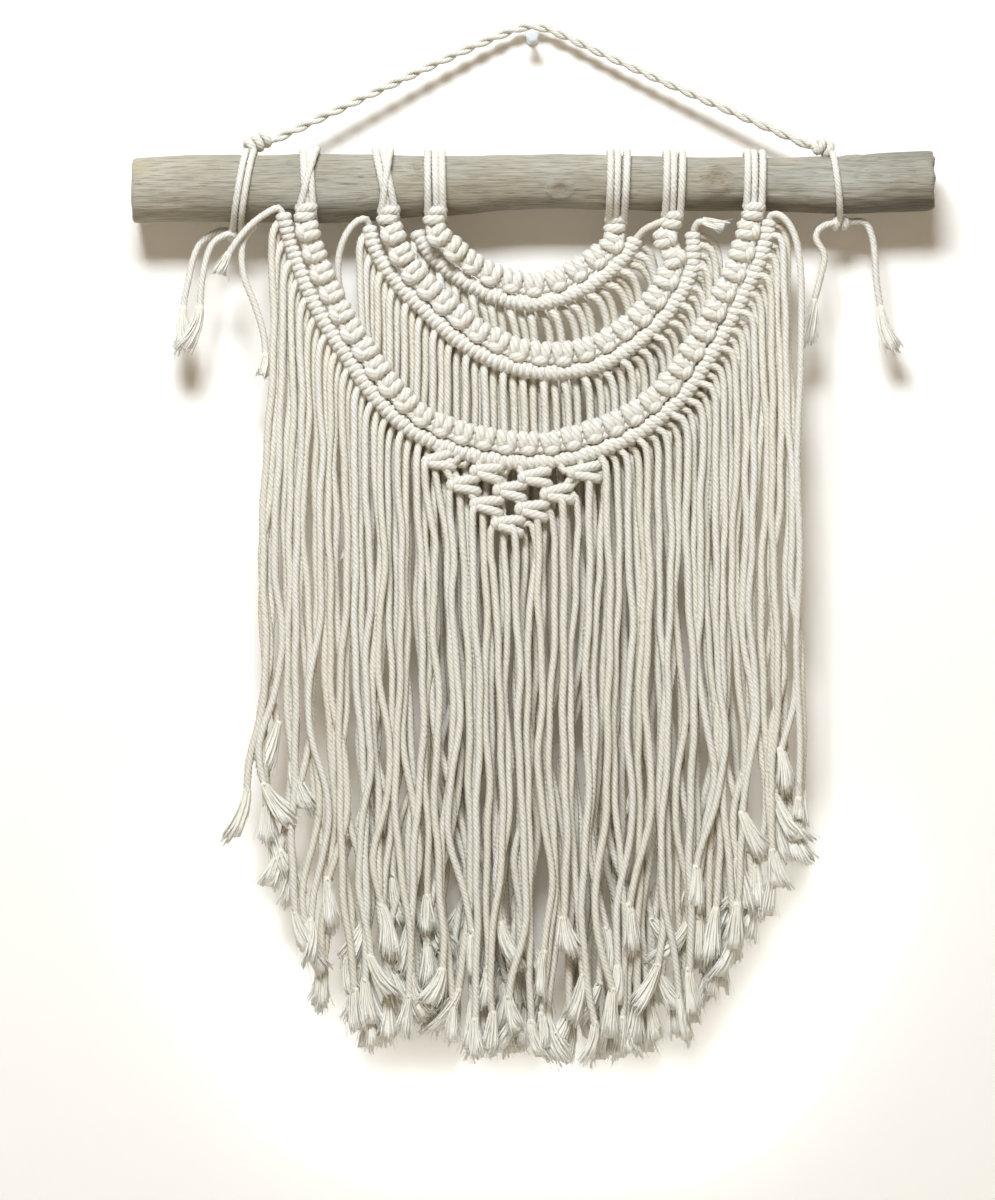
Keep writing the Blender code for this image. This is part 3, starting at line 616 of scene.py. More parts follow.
def clear_finish():
    """Clear plastic that is a little milky."""
    plastic, tree, shader = new_finish("clear_plastic")
    plastic["slot"] = "pin"
    cloud = speckle(tree, add_node(tree, "TexCoord", {}, "Object"), scale=400.0, detail=2.0)
    tint = blend(tree, "MIX", cloud, (0.80, 0.87, 0.91, 1.0), (0.88, 0.92, 0.94, 1.0))
    set_inputs(tree, shader, {"Base Color": tint, "Roughness": 0.08, "IOR": 1.49,
                              "Transmission Weight": 0.25, "Coat Weight": 0.5})
    return plastic


pin_turn = evenly_round(PIN_COLUMNS)
pin_out, pin_radius = np.array(PIN).T[:, :, None]
pin_grid = np.stack(np.broadcast_arrays(pin_radius * np.cos(pin_turn), pin_radius * np.sin(pin_turn),
                                        pin_out), axis=-1)
new_piece("push_pin", [(pin_grid[None], pin_out[:, 0], False)], clear_finish(), "wall_pin")


# Frayed ends: where a cord is cut, its plies open and are combed out into a soft pale brush. Locks
# and loose fibres stand round a denser core.

combed_cotton = cotton_finish("combed_cotton", pale=(0.90, 0.885, 0.825), deep=(0.86, 0.84, 0.75),
                              painted_groove_shade=0.0, sheen=0.3)
LOCKS = 22                         # soft locks of a combed end
LOCK_SIDES = 4
LOCK_THICK = 0.14                  # share of the brush's spread
LOCK_LENGTH = 0.87                 # share of the brush's length
LOOSE_FIBRES = 16                  # and loose fibres round them
LOOSE_SIDES = 3
LOOSE_THICK = 0.26
LOOSE_LENGTH = 0.93
LOOSE_SPREAD = 1.5                 # in spreads of the brush
CORE_SIDES = 12
CORE_LENGTH = 0.87
FLARE = 1.15                       # how a brush widens along itself
SNUG = 1.05                        # its width inside the cord, in radii of the cord
BRUSH_SEAT = 2.5                   # how far a brush starts inside its cord
GOLDEN_ANGLE = 2.399963
FRAY = np.array([0.0, 0.09, 0.27, 0.50, 0.76, 1.0])   # shares of a brush's length where it has rows
LOCK_SWELL = np.array([0.5, 0.6, 0.74, 0.86, 0.9, 0.5])
RAW_ROOT = (0.35 * (1.0 - FRAY))[:, None]   # tone down a brush: raw at the cord, paler to its tip


def brush(end, towards, chance, length, spread):
    """Combed end: locks side by side that fill a widening, flattened broom, loose fibres, and a core.

    Place in the broom: rho = sqrt(i / n) at the golden angle. The broom's half-width goes from
    the cord's to its spread as s^FLARE, and the whole bends aside as s^2. The core is an oval with
    four lobes that rise towards its tip.
    """
    towards = unit(towards)
    first, second = square_to(towards, OUT)
    start = end - towards * BRUSH_SEAT
    radius = CORD / 2
    curl, lift = chance.normal(0.0, 0.18), chance.normal(0.02, 0.07)
    lobes = chance.uniform(0.0, FULL_TURN, 2)

    def in_broom(down, aside, before):
        """Places that lie so far down the broom, aside from its middle, and before it."""
        return (start + towards * down[..., None] + second * aside[..., None]
                + first * before[..., None])

    tubes = []
    for count, sides, thick, wider, longer in (
            (LOCKS, LOCK_SIDES, LOCK_THICK * spread * LOCK_SWELL, 1.0, LOCK_LENGTH),
            (LOOSE_FIBRES, LOOSE_SIDES, LOOSE_THICK * (1.0 - 0.6 * FRAY), LOOSE_SPREAD,
             LOOSE_LENGTH)):
        own = chance.uniform(0.0, 1.0, (count, 4))
        rho = np.sqrt((np.arange(count) + 0.5) / count)[:, None]
        seat = (np.arange(count) * GOLDEN_ANGLE)[:, None] + 0.5 * own[:, :1]
        s = FRAY[None, :]
        snug = radius * (0.75 + 0.3 * np.clip(s / FRAY[1], 0.0, 1.0))
        half = snug + (wider * spread - SNUG * radius) * s ** FLARE
        parted = 1.0 + 0.25 * s * np.sin(2.0 * seat + lobes[0])
        wave = 0.6 * wider * s * np.sin(5.0 * s + FULL_TURN * own[:, 1:2])
        aside = rho * half * parted * np.cos(seat) + curl * length * s ** 2 + wave
        before = rho * (snug + 0.5 * (half - snug)) * np.sin(seat) + lift * length * s ** 2 + wave
        down = s * length * (longer + 0.09 * np.sin(3.0 * rho * np.cos(seat) + lobes[1])
                             + 0.16 * (own[:, 2:3] - 0.5))
        paths = in_broom(down, aside, before)
        near, beside = square_to(unit(np.gradient(paths, axis=1)), OUT)
        size = (thick[None, :] * (0.85 + 0.3 * own[:, 3:4]))[..., None, None]
        angle = evenly_round(sides)[:, None]
        grids = paths[:, :, None] + size * (np.cos(angle) * near[:, :, None]
                                            + np.sin(angle) * beside[:, :, None])
        tubes.append((grids, length * FRAY, False))

    s = CORE_LENGTH * FRAY[:, None]
    angle = evenly_round(CORE_SIDES)[None, :]
    half = radius + (spread - SNUG * radius) * s ** FLARE
    lumps = 0.78 + 0.28 * np.exp(-s / 0.12) + 0.16 * s * np.sin(4.0 * angle + lobes[0])
    core = in_broom(s * length, curl * length * s ** 2 + lumps * half * np.cos(angle),
                    lift * length * s ** 2 - 0.5 * lumps * (half + radius) * np.sin(angle))
    tubes.append((core[None], length * FRAY, False))
    return tubes


# Ties: each end of the rope is knotted on top of the stick and led round it, in two strands at
# the left and one at the right. A small knot below holds it, and the tails hang loose and frayed.

# Each tie: its two knots, the slope of the upper one in degrees, places of its turns and of the
# strands round the stick, and the rope's end with the next point along it
TIES = {
    "left": dict(seed=11, top=(-148.0, -58.6), under=(-159.5, -108.0), slope=29.0,
                 turns=(-4.8, -0.2, 4.4), rings=(-2.0, 1.95), rope=ROPE_ROUTE[:2]),
    "right": dict(seed=12, top=(157.4, -61.3), under=(166.0, -101.9), slope=-22.0,
                  turns=(-2.8, 2.0), rings=(0.0,), rope=ROPE_ROUTE[:-3:-1]),
}
UNDER_TURNS = (-2.6, 2.2)          # places of the turns of the small knot below
RING_LEAN = 4.0                    # the strands round the stick lean this far inwards at the top
STUB = 2.5                         # length of cord from a tie's knot inside the rope's end
TAILS = {
    "left": (
        ((-159.0, -108.0, 20.5), (-168.5, -105.5, 19.0), (-180.5, -114.0, 18.0),
         (-186.5, -135.0, 18.0), (-189.1, -152.0, 18.0), (-189.3, -177.0, 18.0)),
        ((-159.5, -108.5, 26.5), (-165.5, -108.5, 28.0), (-173.0, -114.5, 28.0),
         (-177.5, -130.0, 28.0), (-179.0, -147.0, 28.0), (-179.2, -176.0, 28.0)),
    ),
    "right": (
        ((164.0, -101.5, 26.0), (156.0, -104.0, 27.0), (152.8, -110.0, 27.0), (157.2, -119.0, 27.0),
         (156.1, -127.5, 27.0), (150.9, -148.0, 27.0), (146.5, -172.0, 27.0)),
        ((168.5, -101.0, 22.0), (179.0, -101.2, 22.0), (183.3, -109.0, 22.0), (184.8, -119.4, 22.0),
         (185.9, -134.5, 22.0), (188.6, -152.0, 22.0), (190.4, -176.0, 22.0)),
    ),
}
TAIL_BRUSH = 27.0                  # length of a tail's frayed end
TAIL_SPREAD = 4.6
TIE_TONES = (0.03, 0.24)
STICK_GAP = 0.4                    # from a cord to the stick that it goes round
WRAP_STEP = 1.4                    # rows of a tight turn's surface, along it
STRAND_STEP = 1.7                  # rows of a short cord's surface, along it


def wrap(centre, one_way, other_way, wide, deep, lean, thick, relief):
    """Closed turn of cord: centre + wide cos(t) one way + deep sin(t) the other, and a lean."""
    one_way, other_way = unit(one_way), unit(other_way)
    axis = np.cross(one_way, other_way)
    around = math.pi * (3 * (wide + deep) - math.sqrt((3 * wide + deep) * (wide + 3 * deep)))
    rows = max(9, int(round(around / WRAP_STEP)))
    t = np.linspace(0.0, FULL_TURN, rows, endpoint=False)[:, None]
    route = centre + wide * np.cos(t) * one_way + deep * np.sin(t) * other_way + lean * np.sin(t) * axis
    return laid_cord(route, axis, thick, joined=True, relief=relief)


def stick_at(across):
    """Height and radius of the stick at a place along it."""
    return point_at(across, stations[:, 0], stations[:, 1:])


def over_stick(knot_up, knot_out, across_at_knot, across_at_top, lift=0.0):
    """Cord round the stick, drawn down to its knot: a circle with two tangents to one point.

    It may be lifted off the stick in front, where it crosses another cord.
    """
    up, radius = stick_at(across_at_top)
    around = radius + STICK_GAP + CORD / 2
    drop, lead = knot_up - up, knot_out - STICK_OUT
    distance_to_knot = math.hypot(drop, lead)
    start = math.atan2(drop, lead)
    tangent = math.acos(min(1.0, around / distance_to_knot))
    away = evenly_round(int(round(FULL_TURN * around / STRAND_STEP)))
    near = np.minimum(away, FULL_TURN - away)
    distance = around / np.cos(np.maximum(0.0, tangent - near))
    distance = distance + lift * np.clip(np.cos(start + away), 0.0, 1.0)
    height = up + distance * np.sin(start + away)
    rise = (height - knot_up) / (up + around - knot_up)
    across = across_at_knot + (across_at_top - across_at_knot) * rise
    return np.stack([across, height, STICK_OUT + distance * np.cos(start + away)], axis=1)


def frayed_cord(points, chance, length, spread, cords, brushes):
    """Laid cord whose last stretch, of the given length, is combed into a brush."""
    route = smooth_route(points, STRAND_STEP)
    run = run_along(route)
    keep = run < run[-1] - length
    cords.append(laid_cord(route[keep], OUT))
    last = route[keep][-1]
    brushes.extend(brush(last, route[-1] - last, chance, length, spread))


for side_name, tie in TIES.items():
    chance = np.random.default_rng(tie["seed"])
    cords, brushes = [], []
    slope = math.radians(tie["slope"])
    along = np.array([math.cos(slope), math.sin(slope), 0.0])
    over = np.array([-math.sin(slope), math.cos(slope), 0.0])
    top = np.array([*tie["top"], STICK_OUT])
    for shift in tie["turns"]:
        cords.append(wrap(top + along * shift, over, OUT, wide=3.1, deep=3.1, lean=1.1,
                          thick=2.3, relief=0.7))
    under = np.array([*tie["under"], STICK_OUT])
    for shift in UNDER_TURNS:
        cords.append(wrap(under + ACROSS * shift, UP, OUT, wide=2.0, deep=2.6, lean=0.8,
                          thick=2.0, relief=0.7))
    for shift in tie["rings"]:
        high = tie["top"][0] + shift - RING_LEAN * np.sign(slope)
        ring = over_stick(tie["under"][1], STICK_OUT, tie["under"][0] + shift, high)
        cords.append(laid_cord(ring, ACROSS, CORD / 2, joined=True))
    for points in TAILS[side_name]:
        frayed_cord(points, chance, TAIL_BRUSH, TAIL_SPREAD, cords, brushes)
    rope_end, further_in = np.array(tie["rope"])
    into_rope = rope_end + STUB * unit(further_in - rope_end)
    cords.append(laid_cord(smooth_route((top, rope_end, into_rope), WRAP_STEP), OUT))
    new_piece("tie_" + side_name + "_cords", cords, cord_cotton, "tie_" + side_name,
              chance.uniform(*TIE_TONES, len(cords)))
    new_piece("tie_" + side_name + "_tips", brushes, combed_cotton, "tie_" + side_name,
              [RAW_ROOT] * len(brushes))


# Loops: three strands of cord over the stick at each place where a crescent hangs, gathered by
# two plump turns of a knot just below.

BANDS = {"outer": 38.0, "middle": 32.0, "inner": 25.5}   # from each crescent's band to the wall
LOOPS = (                          # name, knot across, up, tilt, strands at top, at knot
    ("outer_left", -121.3, -97.1, 5.0, (-116.2, -123.4, -119.8), (-125.0, -121.0, -117.4)),
    ("middle_left", -76.1, -98.2, 5.0, (-76.4, -84.6, -80.6), (-81.0, -77.0, -73.2)),
    ("inner_left", -51.4, -98.2, 5.0, (-56.4, -52.4, -48.8), (-56.0, -51.6, -48.0)),
    ("inner_right", 44.1, -102.0, 5.0, (42.0, 45.9, 51.0), (41.2, 44.8, 49.4)),
    ("middle_right", 72.6, -100.3, -4.0, (72.2, 76.0, 80.8), (71.4, 75.0, 79.4)),
    ("outer_right", 116.5, -96.2, -4.0, (115.6, 119.3, 123.8), (114.8, 118.6, 122.8)),
)
KNOT_HALF_DEPTH = 4.6
KNOT_CLEARANCE = 0.3               # from a knot to the stick
LOOP_LIFTS = (2.2, 0.0, 0.6)       # how far each strand stands off the stick, where they cross
LOOP_RADIUS = 2.1
KNOT_TURNS = ((-2.4, 0.9, 0.5), (2.2, 0.0, 0.1))   # the knot's turns: up, aside, narrower by
LOOP_TONES = (0.03, 0.18)
knots_at = {}
for name, across, up, tilt, at_top, at_knot in LOOPS:
    chance = np.random.default_rng(len(name) + int(abs(across)))
    stick_up, radius = stick_at(across)
    clear_of_stick = (radius + KNOT_CLEARANCE + KNOT_HALF_DEPTH) ** 2 - (up - stick_up) ** 2
    out = max(STICK_OUT + math.sqrt(max(0.0, clear_of_stick)), BANDS[name.split("_")[0]])
    knots_at[name] = np.array([across, up, out])
    cords = []
    for lift, high, low in zip(LOOP_LIFTS, at_top, at_knot):
        cords.append(laid_cord(over_stick(up, out, low, high, lift), ACROSS, LOOP_RADIUS, joined=True))
    lean = math.radians(tilt)
    level = np.array([math.cos(lean), math.sin(lean), 0.0])
    middle = np.array([(max(at_knot) + min(at_knot)) / 2, up, out])
    half = (max(at_knot) - min(at_knot)) / 2
    for drop, aside, narrower in KNOT_TURNS:
        cords.append(wrap(middle + UP * drop - level * aside, level, OUT, wide=half - narrower,
                          deep=2.5, lean=0.4, thick=2.8, relief=0.6))
    new_piece("loop_" + name + "_cords", cords, cord_cotton, "loop_" + name,
              chance.uniform(*LOOP_TONES, len(cords)))


# Sennits: the inner edge of each crescent is a chain of square knots. Each knot shows two wraps
# across the filler cords, and on the edge next to the bar the turn that holds their ends.

knotted_cotton = cotton_finish("knotted_cotton", pale=(0.80, 0.785, 0.745), deep=(0.68, 0.65, 0.56),
                               painted_groove_shade=0.45)
BAR_RADIUS = 4.1                   # hitch bar over its ridges
SENNIT_HALF_WIDTH = 6.1
SENNIT_PITCH = 11.8                # one square knot
SENNIT_OFFSET = SENNIT_HALF_WIDTH + BAR_RADIUS + 0.5   # middle of a sennit to that of its bar
SENNIT_STEP = 8.0                  # between the points that its middle line runs through
FILLERS = (-2.6, 0.8, 4.0)         # places of the filler cords, across the sennit
FILLER_RADIUS = 2.3
FILLER_BACK = 0.6                  # how far behind the sennit's middle they lie
KNOT_SIZES = (0.96, 1.05)          # no two knots are quite alike
KNOT_SKEW = 0.06                   # in their direction
KNOT_SHIFTS = (0.5, 0.22, 0.2)     # nor in their place: outwards in all, at random, and to the front
KNOT_GAP = (2.85, 0.45)            # half-gap of the wraps on the level, and its loss when upright
KNOT_BELOW = 4.85                  # from the middle of a gather knot down to its sennit
KNOT_LEAD = 6.0                    # a sennit's nearly straight start below that
KNOT_LEAN = 1.4                    # and its lean towards the middle there
SENNIT_FADE = 26.0                 # run over which a sennit falls back from before the stick
SENNIT_TONES = (0.0, 0.18)
# Routes of the bars along the crescents' outer edges: across, up
OUTER_BAR = (
    (-133.7, -98.0), (-128.6, -117.0), (-116.5, -146.9), (-100.3, -173.5), (-81.5, -199.5),
    (-59.4, -217.5), (-28.2, -228.3), (-0.3, -231.3), (28.2, -227.0), (57.3, -215.0),
    (80.4, -196.0), (97.1, -171.6), (111.6, -144.7), (122.2, -122.0), (127.2, -101.5),
)
MIDDLE_BAR = (
    (-87.6, -104.5), (-84.6, -116.0), (-73.4, -133.4), (-56.2, -151.0), (-36.9, -167.5),
    (-15.0, -178.3), (8.9, -182.9), (35.8, -178.6), (59.4, -164.1), (76.5, -145.5),
    (85.6, -127.0), (86.2, -107.6),
)
INNER_BAR = (
    (-62.1, -107.0), (-54.1, -119.0), (-41.0, -130.2), (-21.0, -140.8), (1.0, -145.3),
    (25.0, -138.5), (46.0, -124.0), (56.0, -110.5),
)
BARS = {"outer": OUTER_BAR, "middle": MIDDLE_BAR, "inner": INNER_BAR}
SENNIT_SEEDS = {"outer": 95, "middle": 69, "inner": 49}


def outward(line):
    """Unit normals of a flat route, pointing out of the crescent (down in its middle)."""
    slope = np.gradient(line, axis=0)
    return unit(np.stack([slope[:, 1], -slope[:, 0]], axis=1))


def band_out(line, band, left, right, fade):
    """Distance from the wall along a band, which starts and ends at places of its own."""
    run = run_along(line)
    return (band + (left - band) * np.exp(-(run / fade) ** 2)
            + (right - band) * np.exp(-((run[-1] - run) / fade) ** 2))


def across_band(along):
    """Directions across a band that runs along: to its outer edge, and to its front."""
    outer = unit(np.cross(along, OUT))
    return outer, np.cross(outer, along)


def square_knot(centre, along, half_width, rise, half_gap, thick, tilt=0.0, fan=0.0, side=0.75):
    """Square knot: two wraps across the fillers, and a turn that holds their ends.

    The wraps lie half_gap before and behind the centre, tilted alike and fanned apart. The turn is
    an oval on the outer side, a little in front.
    """
    outer, front = across_band(along)
    turns = []
    for way in (-1.0, 1.0):
        level = outer + along * (tilt - way * fan)
        turns.append(wrap(centre + along * half_gap * way - outer, level, front, thick=thick,
                          wide=half_width - thick, deep=rise, lean=0.2 * way, relief=0.5))
    turns.append(wrap(centre + outer * (half_width - 0.8 * thick) + front * 1.3, along, front,
                      thick=0.95 * thick, wide=side * half_gap, deep=0.75 * rise, lean=0.4,
                      relief=0.5))
    return turns


for name, bar in BARS.items():
    chance = np.random.default_rng(SENNIT_SEEDS[name])
    left, right = knots_at[name + "_left"], knots_at[name + "_right"]
    line = smooth_route(bar, SENNIT_STEP)
    inner = line - outward(line) * SENNIT_OFFSET
    lead = KNOT_BELOW + KNOT_LEAD
    down = [(left[0], left[1] - KNOT_BELOW), (left[0] + KNOT_LEAN, left[1] - lead)]
    back_up = [(right[0] - KNOT_LEAN, right[1] - lead), (right[0], right[1] - KNOT_BELOW)]
    highest = min(down[1][1], back_up[0][1]) - KNOT_LEAD
    flat = smooth_route(down + [tuple(point) for point in inner if point[1] < highest] + back_up,
                        STRAND_STEP)
    route = np.column_stack([flat, band_out(flat, BANDS[name], left[2], right[2], SENNIT_FADE)])
    run = run_along(route)
    tangent = unit(np.gradient(route, axis=0))
    cords = []
    for shift in FILLERS:
        filler_row = route + np.cross(tangent, OUT) * shift
        cords.append(laid_cord(filler_row - OUT * FILLER_BACK, OUT, FILLER_RADIUS))
    knot_count = int(round(run[-1] / SENNIT_PITCH))
    for number in range(knot_count):
        place = (number + 0.5) * run[-1] / knot_count
        along = unit(point_at(place, run, tangent))
        along = unit(along + KNOT_SKEW * chance.normal(0.0, 1.0, 3) * (1.0, 1.0, 0.5))
        outer, front = across_band(along)
        size = chance.uniform(*KNOT_SIZES)
        centre = point_at(place, run, route)
        centre = centre + outer * (KNOT_SHIFTS[0] + chance.normal(0.0, KNOT_SHIFTS[1]))
        centre = centre + front * chance.normal(0.0, KNOT_SHIFTS[2])
        half_gap = (KNOT_GAP[0] - KNOT_GAP[1] * abs(along[1])) * size
        cords.extend(square_knot(centre, along, half_width=6.0 * size, rise=2.3 * size,
                                 half_gap=half_gap, thick=2.85 * size, tilt=chance.normal(0.0, 0.07)))
    new_piece("sennit_" + name + "_knots", cords, knotted_cotton, "sennit_" + name,
              chance.uniform(*SENNIT_TONES, len(cords)))


# Hitch bars and fringes: along the outer edge of each crescent every cord is tied over a holding
# cord with two hitches, and then hangs free. The cords are cut to a rough curve and combed open
# at their ends. Under the outer crescent sixteen of them are first tied in a small triangle.

# Each fringe: its strands and their radius, how far it and the left end of its bar are from the
# wall, its drift to the right within the first drop, and the rows of a strand's surface
FRINGES = {
    "outer": dict(strands=74, radius=2.15, hang=38.0, bar_end=42.0, drift=0.0, step=2.1, seed=115),
    "middle": dict(strands=48, radius=2.25, hang=29.4, bar_end=33.0, drift=1.5, step=2.5, seed=89),
    "inner": dict(strands=28, radius=2.35, hang=21.2, bar_end=25.5, drift=5.0, step=2.6, seed=69),
}
LAYERS = (3.2, -1.6, 1.0, -3.0)    # how far each strand of four hangs before the fringe's middle
HITCHES = 1.5                      # ridges of the bar for each strand
HITCH_REACH = 2.1                  # from the bar's middle to that of a ridge's cord
HITCH_THICK = 2.35
HOLDING_RADIUS = 2.2               # the cord inside the bar
BAR_FADE = 14.0                    # run over which a bar falls back from its ends
UPRIGHT = 0.6                      # slope of the bar from which its ridges turn fully
LANE_PITCH = 1.5                   # between strands at the top of a fringe
LOW_PITCHES = (3.5, 2.7)           # lower down, where they have spread, at the left and the right
SPREAD_DROP = 330.0
LEFT_REACH = 2.5                   # how far a strand swings out from the bar's edge at the left
RIGHT_REACH = 10.0                 # and at the right, where it turns over in an arch
STEEP_FROM, STEEP_RANGE = 0.75, 0.2   # outward direction's share of across where a bar is steep
STEEP_TUCK = 0.6                   # share of that reach lost there
ROOT_STEP = 1.2                    # between neighbouring strands inside the bar, out from the wall
EDGE = BAR_RADIUS + 0.4
WANDER_START = 34.0                # drop over which the waves of a strand come in
ROUTE_STEP = 10.0                  # drop between the points of a strand's route
KNOT_TONES = (0.0, 0.15)
TRIANGLE = (                       # across, up, first of its four strands
    (-50.3, -230.4, 0), (-24.5, -236.6, 4), (1.3, -239.2, 8), (27.7, -236.4, 12),
    (-36.9, -243.2, 2), (-12.1, -246.4, 6), (13.2, -248.0, 10),
    (-24.5, -254.2, 4), (-0.3, -256.6, 8), (-13.2, -264.6, 6),
)
TRIANGLE_STRANDS = 16
SEATS = 4                          # strands in one of its knots
SEAT = 3.5                         # between them
HOOKS = (-3.0, -0.6, 1.2, 6.0)     # how far each seat's strand springs aside below its last knot
LOWEST_HOOK = 1.6                  # and how many times as far below the lowest one
ROWS = 4                           # of the triangle
# Lowest reach of the tips: across, up
HEM = ((-160.0, -432.0), (-150.0, -452.0), (-138.5, -468.0), (-117.0, -530.0), (-88.0, -551.0),
       (-60.5, -541.0), (-33.6, -556.0), (14.8, -560.0), (49.8, -558.0), (79.4, -547.0),
       (100.9, -520.0), (122.4, -488.0), (146.0, -440.0))
HEM_SCATTER = 62.0                 # the shortest strands end this far above it
BRUSH_LENGTH = 28.0                # of a strand, on average
BRUSH_SHARES = (0.8, 1.15)         # and from the shortest to the longest
BRUSH_SPREADS = (4.2, 6.4)
CUT_BRUSH = 14.0                   # length of a cut end's brush
CUT_SPREAD = 3.8
CUT_TONE = 0.1
TUCKED_TONE = 0.3
STRAND_TONE = 0.28                 # of the strands with the most raw cotton, in front
# Painted shade: strands of the layer behind take a darker, warmer tone
BACK_SHADE_TONE = 0.12                   # added in the layer behind
SLIMMEST, STOUTEST = 0.95, 1.05    # strands, in shares of their radius
# Loose cut ends of the cords inside the bars, and one that is tucked away: across, up, out
CUT_ENDS = {
    "outer": (
        ((-133.5, -99.0, 42.0), (-137.0, -95.2, 43.4), (-148.8, -102.5, 43.6),
         (-158.0, -112.5, 43.2), (-164.5, -123.0, 42.4), (-170.5, -135.0, 41.0)),
        ((-147.8, -103.5, 41.0), (-153.5, -110.0, 39.5), (-155.9, -118.5, 39.0),
         (-154.6, -132.0, 38.5), (-148.5, -148.0, 38.0), (-143.8, -166.0, 37.5),
         (-143.4, -190.0, 37.0)),
        ((127.1, -102.5, 38.0), (128.0, -98.6, 41.0), (133.6, -99.8, 44.0), (139.4, -108.0, 44.6),
         (142.6, -121.0, 44.4), (143.8, -140.0, 44.0), (143.4, -180.0, 43.4), (141.6, -230.0, 43.0),
         (143.0, -280.0, 42.5), (141.2, -330.0, 42.0), (143.2, -380.0, 41.5), (142.0, -428.0, 41.0)),
    ),
    "middle": (
        ((86.2, -108.5, 32.0), (89.0, -102.4, 37.0), (98.5, -103.6, 41.5), (107.0, -108.0, 42.0)),
        ((-87.6, -104.5, 33.0), (-89.6, -100.4, 36.0), (-95.4, -102.8, 38.0), (-100.8, -110.5, 38.0),
         (-104.0, -121.0, 36.0), (-104.2, -133.0, 33.0), (-101.8, -146.0, 30.0),
         (-99.6, -175.0, 28.0), (-100.0, -230.0, 27.5), (-98.0, -290.0, 27.0)),
    ),
    "inner": (),
}
TUCKED_END = ((72.0, -100.6, 34.5), (66.0, -103.0, 33.0), (60.0, -106.0, 30.0), (55.5, -111.0, 26.5))


def scatter(number, stream):
    """Even but unordered value from 0 to 1 for each whole number."""
    return (number * 0.6180339887 + stream * 0.7548776662) % 1.0


def hem_at(across, number):
    """Height of a strand's tip."""
    lowest = np.interp(across, *np.array(HEM).T)
    return lowest + HEM_SCATTER * scatter(number, 3) ** 2.0


def sway(across, up, drop, number):
    """Sideways wave of a free strand: shared with its neighbours, bunched, its own, and astray.

    The last is a wave with straight runs and sharp bends, asin(0.93 sin t).
    """
    grow = np.clip(drop / WANDER_START, 0.0, 1.0) ** 1.5
    late = np.clip((drop - 60.0) / 200.0, 0.0, 1.0)
    lowest = np.clip((drop - 150.0) / 150.0, 0.0, 1.0)
    shared = 1.1 * np.sin(up / 41.0 + across / 19.0) + 0.5 * np.sin(up / 19.0 - across / 23.0)
    bunch = (1.0 + 1.8 * late) * np.sin(across * 0.47 + 1.8 * np.sin(up / 55.0 + across / 29.0))
    phase = FULL_TURN * scatter(number, 7)
    own = ((0.35 + (0.8 + 1.3 * late) * scatter(number, 11) ** 1.5)
           * np.sin(up / (12.0 + 14.0 * scatter(number, 5)) + phase)
           + 0.35 * np.sin(up / 7.0 + 2 * phase))
    length = 17.0 + 22.0 * scatter(number, 17)
    bend = np.arcsin(0.93 * np.sin(up / length + FULL_TURN * scatter(number, 13)))
    stray = (2.4 + 7.0 * scatter(number, 15) ** 1.5) * (0.4 * late + 0.6 * lowest) * bend / 1.19
    return grow * (shared + bunch + own + stray)


def spread_lanes(across, left_pitch, right_pitch):
    """Places where strands hang: under their hitches, but pushed apart near the bar's ends."""
    lanes = list(across)
    middle = len(lanes) // 2
    for i in range(middle - 1, -1, -1):
        lanes[i] = min(lanes[i], lanes[i + 1] - left_pitch)
    for i in range(middle + 1, len(lanes)):
        lanes[i] = max(lanes[i], lanes[i - 1] + right_pitch)
    return lanes


def through_knots(seat, root, hang, layer, side):
    """First points of a strand that is tied in the triangle, and where it hangs free.

    Its seat is its number among the triangle's strands. It springs aside below its last knot.
    """
    stops = [(across + (seat - first - 1.5) * SEAT, up, seat - first)
             for across, up, first in TRIANGLE if 0 <= seat - first < SEATS]
    points = [(0.75 * root[0] + 0.25 * stops[0][0], root[1] - EDGE - 1.0, hang + 1.6 * side)]
    points += [(across, up, hang + 1.5 * side) for across, up, _ in stops]
    across, up, last_seat = stops[-1]
    hook = HOOKS[last_seat] * (LOWEST_HOOK if len(stops) == ROWS else 1.0)
    points.append((across + 0.75 * hook, up - 4.2 + 0.45 * abs(hook), hang + layer + 1.0))
    return points, (across + 1.2 * hook, up - 9.0)


def over_edge(root, lane, drift, hang, layer):
    """First points of a strand that leaves its hitch at the bar's outer edge, and where it hangs free.

    At the left it drops from under the edge. At the right it leaves outwards and turns over in an
    arch.
    """
    arch = np.clip(1.6 * root[2], 0.0, 1.0)
    fall = 1.0 - arch
    across, up = root[:2] + root[2:4] * (EDGE + 0.8 - 1.8 * fall)
    middle = hang + 0.6 * (root[4] - hang)
    points = [
        (across, up + 0.8 * arch - 1.5 * fall, middle + 0.6 * layer - 2.2 * fall),
        (across + 0.58 * (lane - across) + 0.25 * drift, up - 1.0 - 4.0 * fall,
         middle + layer - 1.2 * fall),
        (across + 0.93 * (lane - across) + 0.6 * drift, up - 7.0 - 4.0 * fall,
         0.4 * middle + 0.6 * hang + layer),
    ]
    return points, (lane + 0.85 * drift, up - 9.0 - 6.0 * fall)


